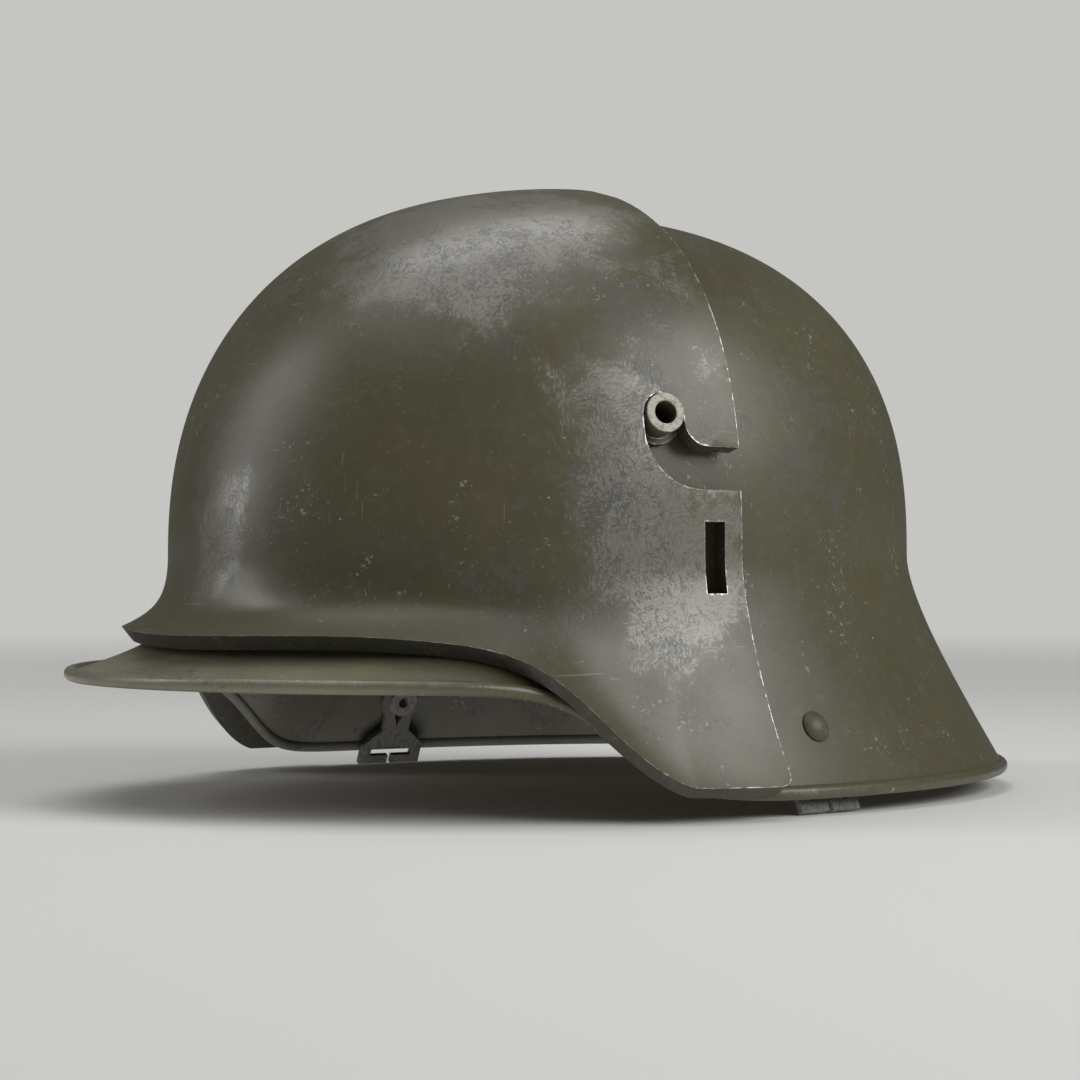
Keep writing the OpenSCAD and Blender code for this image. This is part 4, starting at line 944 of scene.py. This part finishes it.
def rounded_loop(corners, pitch):
    """Closed loop through corners (x, y, radius): each corner is rounded, and the runs between are
    filled with points about a pitch apart."""
    spots_at = np.array([c[:2] for c in corners], float)
    before, after = np.roll(spots_at, 1, 0) - spots_at, np.roll(spots_at, -1, 0) - spots_at
    reach_before, reach_after = np.linalg.norm(before, axis=1), np.linalg.norm(after, axis=1)
    bends, loop = [], []
    for k, (x, y, radius) in enumerate(corners):
        a, b = before[k] / reach_before[k], after[k] / reach_after[k]
        half_angle = max(math.acos(float(np.clip(a @ b, -1, 1))) / 2, 0.05)
        cut = min(radius / math.tan(half_angle), 0.48 * reach_before[k], 0.48 * reach_after[k])
        t = np.linspace(0, 1, 7)[:, None]
        here = spots_at[k]
        bends.append((1 - t) ** 2 * (here + a * cut) + 2 * t * (1 - t) * here + t ** 2 * (here + b * cut))
    for k, bend_points in enumerate(bends):
        loop.append(bend_points[:-1])
        loop.append(line(bend_points[-1], bends[(k + 1) % len(bends)][0], pitch))
    return np.concatenate(loop)


# leather, as one group of shader nodes: pebbled grain, creases, and tones from base to dark
r, (where, base, dark, pebbles, depth, rough, polish) = new_group(
    "leather_hide", ["Where"], ["Base", "Dark"], ["Pebbles", "Depth", "Base Roughness", "Polish"],
    ["Roughness", "Height"])
stain = r.noise(where, 24, 4, 0.6).step(0.34, 0.68)
speck = r.noise(where, 1.6, 4, 0.7).step(0.52, 0.70)
color = r.tint(speck * 0.35, r.tint(stain, base, dark), r.shade(dark, 0.55))
pebble = r.put("TexVoronoi", "Distance", feature="DISTANCE_TO_EDGE", Vector=where, Scale=pebbles)
pebble = pebble.step(0.0, 0.22)
crease = r.noise(r.turned(where, (0, 20, 35), (1, 1, 0.35)), 5, 3, 0.6, 1.2)
crease = abs(crease - 0.5).step(0.004, 0.03)
leather_hide = r.give(Color=r.tint((1.0 - crease) * 0.45, color, r.shade(dark, 0.5)),
                      Roughness=stain.step(0.0, 1.0, rough, rough - polish) + pebble * -0.05,
                      Height=pebble * depth + crease * 0.8)


def leather(name, base, dark, roughness, grain_mm=0.9, grain=0.5, polish=0.0):
    """Material of leather: grain_mm is its pebbles' size, and polish how much handling smoothed it."""
    material, r, shader, place = new_finish(name)
    hide = r.put("Group", "Color", node_tree=leather_hide, Where=place, Base=base, Dark=dark,
                 Pebbles=1 / (grain_mm * MM), Depth=grain, Base_Roughness=roughness, Polish=polish)
    bumps = r.put("Bump", Height=hide.beside("Height"), Strength=0.35, Distance=0.0004)
    r.fill(shader, Base_Color=hide, Roughness=hide.beside("Roughness"), Normal=bumps)
    return material


band_leather = leather("band_leather_face", (0.080, 0.040, 0.020, 1), (0.042, 0.022, 0.012, 1), 0.62, 1.1,
                       0.5, 0.08)
cut_leather = leather("cut_leather_edge", (0.200, 0.120, 0.066, 1), (0.120, 0.070, 0.038, 1), 0.85, 0.5, 0.8)


def band_skin(chart, off):
    """Chart point (mm round the waist, height) to a point moved out of the waist by off."""
    x, y, nx, ny = waist(np.radians(chart[:, 0] / BAND_SCALE))
    return np.stack([x + nx * off, y + ny * off, chart[:, 1]], -1)


def band_turn(azimuth):
    """Place along the band's chart of an azimuth in degrees, counted back from the butted ends."""
    return (azimuth if azimuth < BAND_JOINT else azimuth - 360) * BAND_SCALE


band_start = (BAND_JOINT - 360) * BAND_SCALE + BAND_SLIT / 2
band_end = BAND_JOINT * BAND_SCALE - BAND_SLIT / 2
band_loops = [rounded_loop([(band_start, BAND_LOW, 0.3), (band_end, BAND_LOW, 0.3),
                            (band_end, BAND_HIGH, 0.3), (band_start, BAND_HIGH, 0.3)], 1.6)]
band_loops += [ring(band_turn(c + d), RIVET_Z, RIVET_HOLE_R) for c in PAD_CENTRES for d in RIVET_TURNS]
band_loops += [ring(band_turn(a), PIN_Z, PIN_HOLE_R) for a in PIN_AZIMUTHS]
points, faces, part, rim_marks = cut_sheet(band_loops, 2.4, [lambda c: band_skin(c, BAND_OUT),
                                                             lambda c: band_skin(c, BAND_IN)])
liner_band = mesh_piece("liner_band_strip", points, faces, [band_leather, cut_leather],
                        np.array([0, 0, 1])[part])
round_edges(liner_band, BAND_ROUND, 50, segments=3, harden_normals=True)
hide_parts("liner_band")
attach(liner_band, "helmet")


# The liner pads: three leathers riveted to the band, turned up inside it and cut into two tongues
# each. Each was cut flat and drawn over a last, so its turn is eased into small upright wrinkles.
LEATHER_T, FLANGE_TOP, TURN_Z, PAD_TURN_R, CROWN_DROP = 1.6, 62.4, 56.0, 4.9, 6.0
WRINKLE_H, WAVE_H, LAY_GAP, FLANGE_EASE, PAD_ROUND = 0.30, 0.45, 0.05, 1.1, 0.4
FLANGE_E = BAND_IN - LEATHER_T / 2 - LAY_GAP
WALL_E = FLANGE_E - 2 * PAD_TURN_R
PAD_HALF, TONGUE_CENTRE, TONGUE_W, TIP_W = 54.0, 30.0, 30.0, 13.0
SPLIT_POLAR, TIP_POLAR, LACE_POLAR, LACE_HOLE_R = 63.0, 13.0, 18.0, 3.2
TURN_AT = FLANGE_TOP - TURN_Z
WALL_AT = TURN_AT + math.pi * PAD_TURN_R
DOME_AT = WALL_AT + WAIST_H - TURN_Z


def liner_point(azimuth, polar, off):
    """The pads' wall inside the dome, moved inwards by off, a little lower than the crown."""
    place = dome(azimuth, polar, WALL_E - off)
    place[..., 2] -= CROWN_DROP * np.cos(polar)
    return place


class Pad:
    """One pad's flat chart: x is mm round the head from the pad's centre, y is mm along the leather
    from the flange's top, down, round the turn and up the wall."""

    def __init__(self, centre):
        self.centre = math.radians(centre)
        self.polars = np.radians(np.linspace(90, 8, 165))
        run = liner_point(np.full(165, self.centre), self.polars, 0.0)
        gaps = np.linalg.norm(np.diff(run, axis=0), axis=1)
        self.along = DOME_AT + np.concatenate([[0], np.cumsum(gaps)])
        spread = self.centre + np.radians(np.linspace(-PAD_HALF, PAD_HALF, 28))[None, :]
        rows = self.polars[:, None]
        girth = np.diff(liner_point(spread + 0 * rows, rows + 0 * spread, 0.0), axis=1)
        self.scale = np.linalg.norm(girth, axis=2).sum(1) / (2 * PAD_HALF)
        self.flange_scale = self.scale[0] * FLANGE_EASE

    def width(self, y):
        """mm of chart a degree at a distance along the leather."""
        return np.interp(y, np.concatenate([[TURN_AT, WALL_AT], self.along]),
                         np.concatenate([[self.flange_scale, self.scale[0]], self.scale]))

    def at(self, degrees, polar, aside=0.0):
        """Chart point at an angle from the pad's centre and a polar angle, moved aside by some mm."""
        y = np.interp(-math.radians(polar), -self.polars, self.along)
        return float(degrees * self.width(y) + aside), float(y)

    def skin(self, chart, off):
        """Chart points to points in space on either face, with the leather's wrinkles and waves."""
        y = chart[:, 1]
        azimuth = self.centre + np.radians(chart[:, 0] / self.width(y))
        polar = np.interp(y, self.along, self.polars)
        degrees = np.degrees(azimuth)
        gather = 0.6 * np.sin(degrees * 0.93 + 1.3 * np.sin(degrees * 0.13))
        gather = gather + 0.4 * np.sin(degrees * 0.51 + 2)
        wave = np.sin(degrees * 0.09 + y / 13) * np.clip((y - WALL_AT) / 20, 0, 1)
        off = off + WRINKLE_H * gather * np.exp(-((y - WALL_AT - 3) / 8) ** 2) + WAVE_H * wave
        turn = np.clip((y - TURN_AT) / PAD_TURN_R, 0, math.pi)
        place = lift(azimuth, FLANGE_E - PAD_TURN_R + (PAD_TURN_R + off) * np.cos(turn), TURN_Z)
        place[:, 2] += np.maximum(TURN_AT - y, 0) + np.maximum(y - WALL_AT, 0)
        place[:, 2] -= (PAD_TURN_R + off) * np.sin(turn)
        return np.where((y < DOME_AT)[:, None], place, liner_point(azimuth, polar, off))

    def tongue(self, polar, side):
        """Chart point on a tongue's inner (side -1) or outer (side 1) edge."""
        wide = TONGUE_W + (TIP_W - TONGUE_W) * ((SPLIT_POLAR - polar) / (SPLIT_POLAR - TIP_POLAR)) ** 0.8
        return self.at(TONGUE_CENTRE, polar, side * wide / 2)

    def outline(self):
        """The leather's cut shape: right half from the notch between the tongues, then its mirror."""
        half_cut = [(*self.tongue(polar, side), radius) for polar, side, radius in (
            (55, -1, 12), (46, -1, 20), (28, -1, 20), (TIP_POLAR, -1, 4),
            (TIP_POLAR, 1, 4), (28, 1, 20), (46, 1, 20), (55, 1, 9))]
        half_cut += [(*self.at(48, SPLIT_POLAR), 6),
                     (*self.at(52, 77), 20), (*self.at(PAD_HALF, 84), 20),
                     (PAD_HALF * self.scale[0], WALL_AT, 20), (PAD_HALF * self.flange_scale, TURN_AT, 20),
                     (PAD_HALF * self.flange_scale, 0, 2.5)]
        mirror = [(-x, y, radius) for x, y, radius in half_cut[::-1]]
        return rounded_loop([(*self.at(0, SPLIT_POLAR), 5)] + half_cut + mirror, 1.5)

    def loops(self):
        """Outline, three rivet holes in the flange and a lace hole in each tongue."""
        rivets = [ring(d * self.flange_scale, FLANGE_TOP - RIVET_Z, RIVET_HOLE_R, 12) for d in RIVET_TURNS]
        laces = [ring(*self.at(d, LACE_POLAR), LACE_HOLE_R, 20) for d in (-TONGUE_CENTRE, TONGUE_CENTRE)]
        return [self.outline()] + rivets + laces


def flat_area(loop):
    """Area inside a closed loop, in square metres."""
    x, y = loop.T
    return abs(x @ np.roll(y, -1) - y @ np.roll(x, -1)) / 2 * MM ** 2


STITCH_L, STITCH_PITCH, STITCH_R, STITCH_SIDES = 3.0, 4.4, 0.34, 8


def unit(rows):
    """Rows of an array, each made a unit vector."""
    return rows / np.linalg.norm(rows, axis=1, keepdims=True)


def stitch_row(name, path, skin, off, material):
    """Row of saddle stitches along a chart path: one thread grain a stitch, half sunk in the leather.
    Each grain has five rings round its length and a point at either end."""
    reach = np.concatenate([[0], np.cumsum(np.linalg.norm(np.diff(path, axis=0), axis=1))])
    middles = np.arange(STITCH_PITCH / 2, reach[-1], STITCH_PITCH)

    def at(ahead, raised=0.0):
        run = [np.interp(middles + ahead, reach, path[:, k]) for k in (0, 1)]
        return skin(np.stack(run, -1), off + raised)
    place = at(0)
    along, out = unit(at(0.8) - at(-0.8)), unit(at(0, 0.5) - place)
    side = np.cross(along, out)
    n = STITCH_SIDES
    lean, sides = np.radians([12, 40, 90, 140, 168]), np.radians(np.arange(n) * 45)
    grain = (along[:, None, None] * np.cos(lean)[:, None, None] * STITCH_L / 2
             + (out[:, None, None] * np.cos(sides)[:, None] + side[:, None, None] * np.sin(sides)[:, None])
             * np.sin(lean)[:, None, None] * STITCH_R)
    ends = along[:, None] * np.array([1, -1])[:, None] * STITCH_L / 2
    stitch_points = np.concatenate([(place[:, None, None] + grain).reshape(len(place), -1, 3),
                                    place[:, None] + ends], 1)
    first, last, top, foot = 0, 4 * n, 5 * n, 5 * n + 1
    one = [[i * n + j, (i + 1) * n + j, (i + 1) * n + (j + 1) % n, i * n + (j + 1) % n] for i in range(4)
           for j in range(n)]
    one += [[top, first + j, first + (j + 1) % n] for j in range(n)]
    one += [[foot, last + (j + 1) % n, last + j] for j in range(n)]
    every = [[k * (foot + 1) + v for v in face] for k in range(len(place)) for face in one]
    return mesh_piece(name, stitch_points.reshape(-1, 3), every, [material])


pad_grain = leather("pad_grain_face", (0.205, 0.118, 0.064, 1), (0.098, 0.054, 0.030, 1), 0.58, 0.8, 0.5,
                    0.16)
pad_flesh = leather("pad_flesh_face", (0.270, 0.190, 0.122, 1), (0.190, 0.128, 0.080, 1), 0.88, 0.6, 0.4)
thread = leather("linen_thread", (0.420, 0.360, 0.250, 1), (0.270, 0.220, 0.140, 1), 0.80, 0.25, 0.9)
SEAM_HALF, SEAM_LOW, SEAM_POLAR = 38.5, 6.0, 65.5      # degrees aside, mm above the turn, top's polar angle
for side_name, centre in zip(("left", "rear", "right"), PAD_CENTRES):
    pad = Pad(centre)
    cut = pad.loops()
    points, faces, part, rim_marks = cut_sheet(cut, 2.3, [lambda c: pad.skin(c, LEATHER_T / 2),
                                                          lambda c: pad.skin(c, -LEATHER_T / 2)])
    liner_pad = mesh_piece("liner_pad_leather_" + side_name, points, faces,
                           [pad_grain, pad_flesh, cut_leather], part)
    round_edges(liner_pad, PAD_ROUND, 50, segments=2, material=2, harden_normals=True)
    seam_low, seam_top = WALL_AT + SEAM_LOW, pad.at(0, SEAM_POLAR)[1]
    low_x, top_x = SEAM_HALF * pad.width(seam_low), SEAM_HALF * pad.width(seam_top)
    seam = rounded_loop([(-low_x, seam_low, 8), (low_x, seam_low, 8), (top_x, seam_top, 10),
                         (-top_x, seam_top, 10)], 1.5)
    stitches = stitch_row("pad_stitches_" + side_name, np.concatenate([seam, seam[:1]]), pad.skin,
                          LEATHER_T / 2 + 0.12, thread)
    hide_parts("liner_pad_" + side_name)
    for piece in (liner_pad, stitches):
        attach(piece, "helmet")
    float(flat_area(cut[0]))


# The hair cushions: a linen bag stuffed with curled hair lies in the pocket behind each pad. Its
# two faces meet in a flat seam, and the cloth gathers a little towards it.
CUSHION_HALF, CUSHION_LOW, CUSHION_HIGH = 36.0, 90.0, 60.0
CUSHION_T, CUSHION_SEAM, CUSHION_GAP = 6.0, 0.7, 0.35
SIDE_PULL, SEAM_SWELL, GATHER_H, LUMP_H = 0.06, 0.45, 0.35, 0.5
CUSHION_COLUMNS, CUSHION_ROWS = 96, 44
WEAVE_PER_DEGREE, WEAVE_HALF_H = 1.5, 26      # mm of cloth


def linen(name, base, dark, thread_mm=0.7):
    """Plain weave from the piece's own chart of millimetres, with slubs and stains."""
    material, r, shader, place = new_finish(name)
    x = r.put("SeparateXYZ", Vector=r.put("Attribute", "Vector", attribute_name="weave"))
    waves = [r.math("SINE", axis * (math.pi / thread_mm)) for axis in (x, x.beside(1))]
    slub = r.noise(place, 0.9, 3, 0.6).step(0.45, 0.65)
    color = r.tint(r.noise(place, 18, 4, 0.6).step(0.36, 0.66), base, dark)
    color = r.tint(slub * 0.4, color, [c * 0.6 for c in dark[:3]] + [1])
    bumps = r.put("Bump", Height=waves[0] * waves[1] * 0.5 + slub * 0.3, Strength=0.5, Distance=0.0003)
    r.fill(shader, Base_Color=color, Normal=bumps, Roughness=0.92, Sheen_Weight=0.25)
    return material


cushion_cloth = linen("cushion_linen", (0.46, 0.40, 0.29, 1), (0.33, 0.27, 0.18, 1))
for side_name, centre in zip(("left", "rear", "right"), PAD_CENTRES):
    u, v = np.meshgrid(np.linspace(-1, 1, CUSHION_COLUMNS + 1), np.linspace(-1, 1, CUSHION_ROWS + 1))
    pull = 1 - SIDE_PULL * (1 - np.abs(v))
    azimuth = np.radians(centre + CUSHION_HALF * u * pull)
    polar = np.radians(CUSHION_LOW + (CUSHION_HIGH - CUSHION_LOW) * (v + 1) / 2)
    full = ((1 - u ** 4) * (1 - v ** 4)) ** 0.6
    edge = np.maximum(np.abs(u) ** 6, np.abs(v) ** 4)
    gathers = np.sin(u * 47 + 2 * np.sin(u * 9 + centre)) * np.abs(v) ** 3 + np.sin(v * 19) * np.abs(u) ** 5
    lumps = LUMP_H * np.sin(u * 6.3 + centre) * np.sin(v * 4.1 + 1) * full
    near = -LEATHER_T / 2 - CUSHION_GAP - SEAM_SWELL * (1 - full) * (1 - edge)
    folds = GATHER_H * gathers * (1 - edge) + lumps
    far = near - CUSHION_SEAM - (CUSHION_T - CUSHION_SEAM) * full + folds * full
    skins = [liner_point(azimuth, polar, off).reshape(-1, 3) for off in (near, far)]
    per_row = CUSHION_COLUMNS + 1
    size = skins[0].shape[0]
    face_grid = grid_faces(CUSHION_ROWS + 1, per_row, closed=False)
    rim_loop = np.concatenate([np.arange(per_row), np.arange(1, CUSHION_ROWS + 1) * per_row + CUSHION_COLUMNS,
                               CUSHION_ROWS * per_row + np.arange(CUSHION_COLUMNS)[::-1],
                               np.arange(1, CUSHION_ROWS)[::-1] * per_row])
    nxt = np.roll(rim_loop, -1)
    walls = np.stack([rim_loop, nxt, nxt + size, rim_loop + size], -1)
    bag_faces = np.concatenate([face_grid[:, ::-1], face_grid + size, walls]).tolist()
    cushion = mesh_piece("pad_cushion_bag_" + side_name, np.concatenate(skins), bag_faces, [cushion_cloth])
    weave_at = np.stack([u * CUSHION_HALF * WEAVE_PER_DEGREE, v * WEAVE_HALF_H, 0 * u], -1).reshape(-1, 3)
    layer = cushion.data.attributes.new("weave", "FLOAT_VECTOR", "POINT")
    layer.data.foreach_set("vector", np.concatenate([weave_at, weave_at]).astype(np.float32).ravel())
    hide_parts("pad_cushion_" + side_name)
    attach(cushion, "helmet")


# The crown lace: one closed cord of three twisted strands that threads the six tongue holes, over
# one tongue and under the next, and sets how deep the helmet sits.
LACE_R, LACE_WAVE, LACE_RINGS, LACE_SIDES, LACE_STRANDS, LACE_TWISTS = 0.9, 8.0, 720, 18, 3, 44
around = np.linspace(0, 2 * np.pi, LACE_RINGS, endpoint=False)
lace_run = liner_point(around, np.full(LACE_RINGS, math.radians(LACE_POLAR)), 0.0)
lace_run[:, 2] += LACE_WAVE * np.cos(3 * around)
heading = unit(np.roll(lace_run, -1, 0) - np.roll(lace_run, 1, 0))
level = unit(np.cross(heading, [0, 0, 1.0]))
upright = np.cross(level, heading)
spin = np.arange(LACE_SIDES) / LACE_SIDES * 2 * np.pi
strand_turn = LACE_STRANDS * spin[None, :] - LACE_TWISTS * around[:, None]
swell = LACE_R * (0.74 + 0.26 * np.abs(np.cos(strand_turn / 2)) ** 0.6)
lace_points = lace_run[:, None] + swell[..., None] * (level[:, None] * np.cos(spin)[:, None]
                                                      + upright[:, None] * np.sin(spin)[:, None])
i, j = np.meshgrid(np.arange(LACE_RINGS), np.arange(LACE_SIDES), indexing="ij")
next_i, next_j = (i + 1) % LACE_RINGS, (j + 1) % LACE_SIDES
lace_faces = np.stack([i * LACE_SIDES + j, next_i * LACE_SIDES + j, next_i * LACE_SIDES + next_j,
                       i * LACE_SIDES + next_j], -1).reshape(-1, 4)
crown_lace = mesh_piece("crown_lace_cord", lace_points.reshape(-1, 3), lace_faces.tolist(), [thread])
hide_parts("crown_lace")
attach(crown_lace, "helmet")
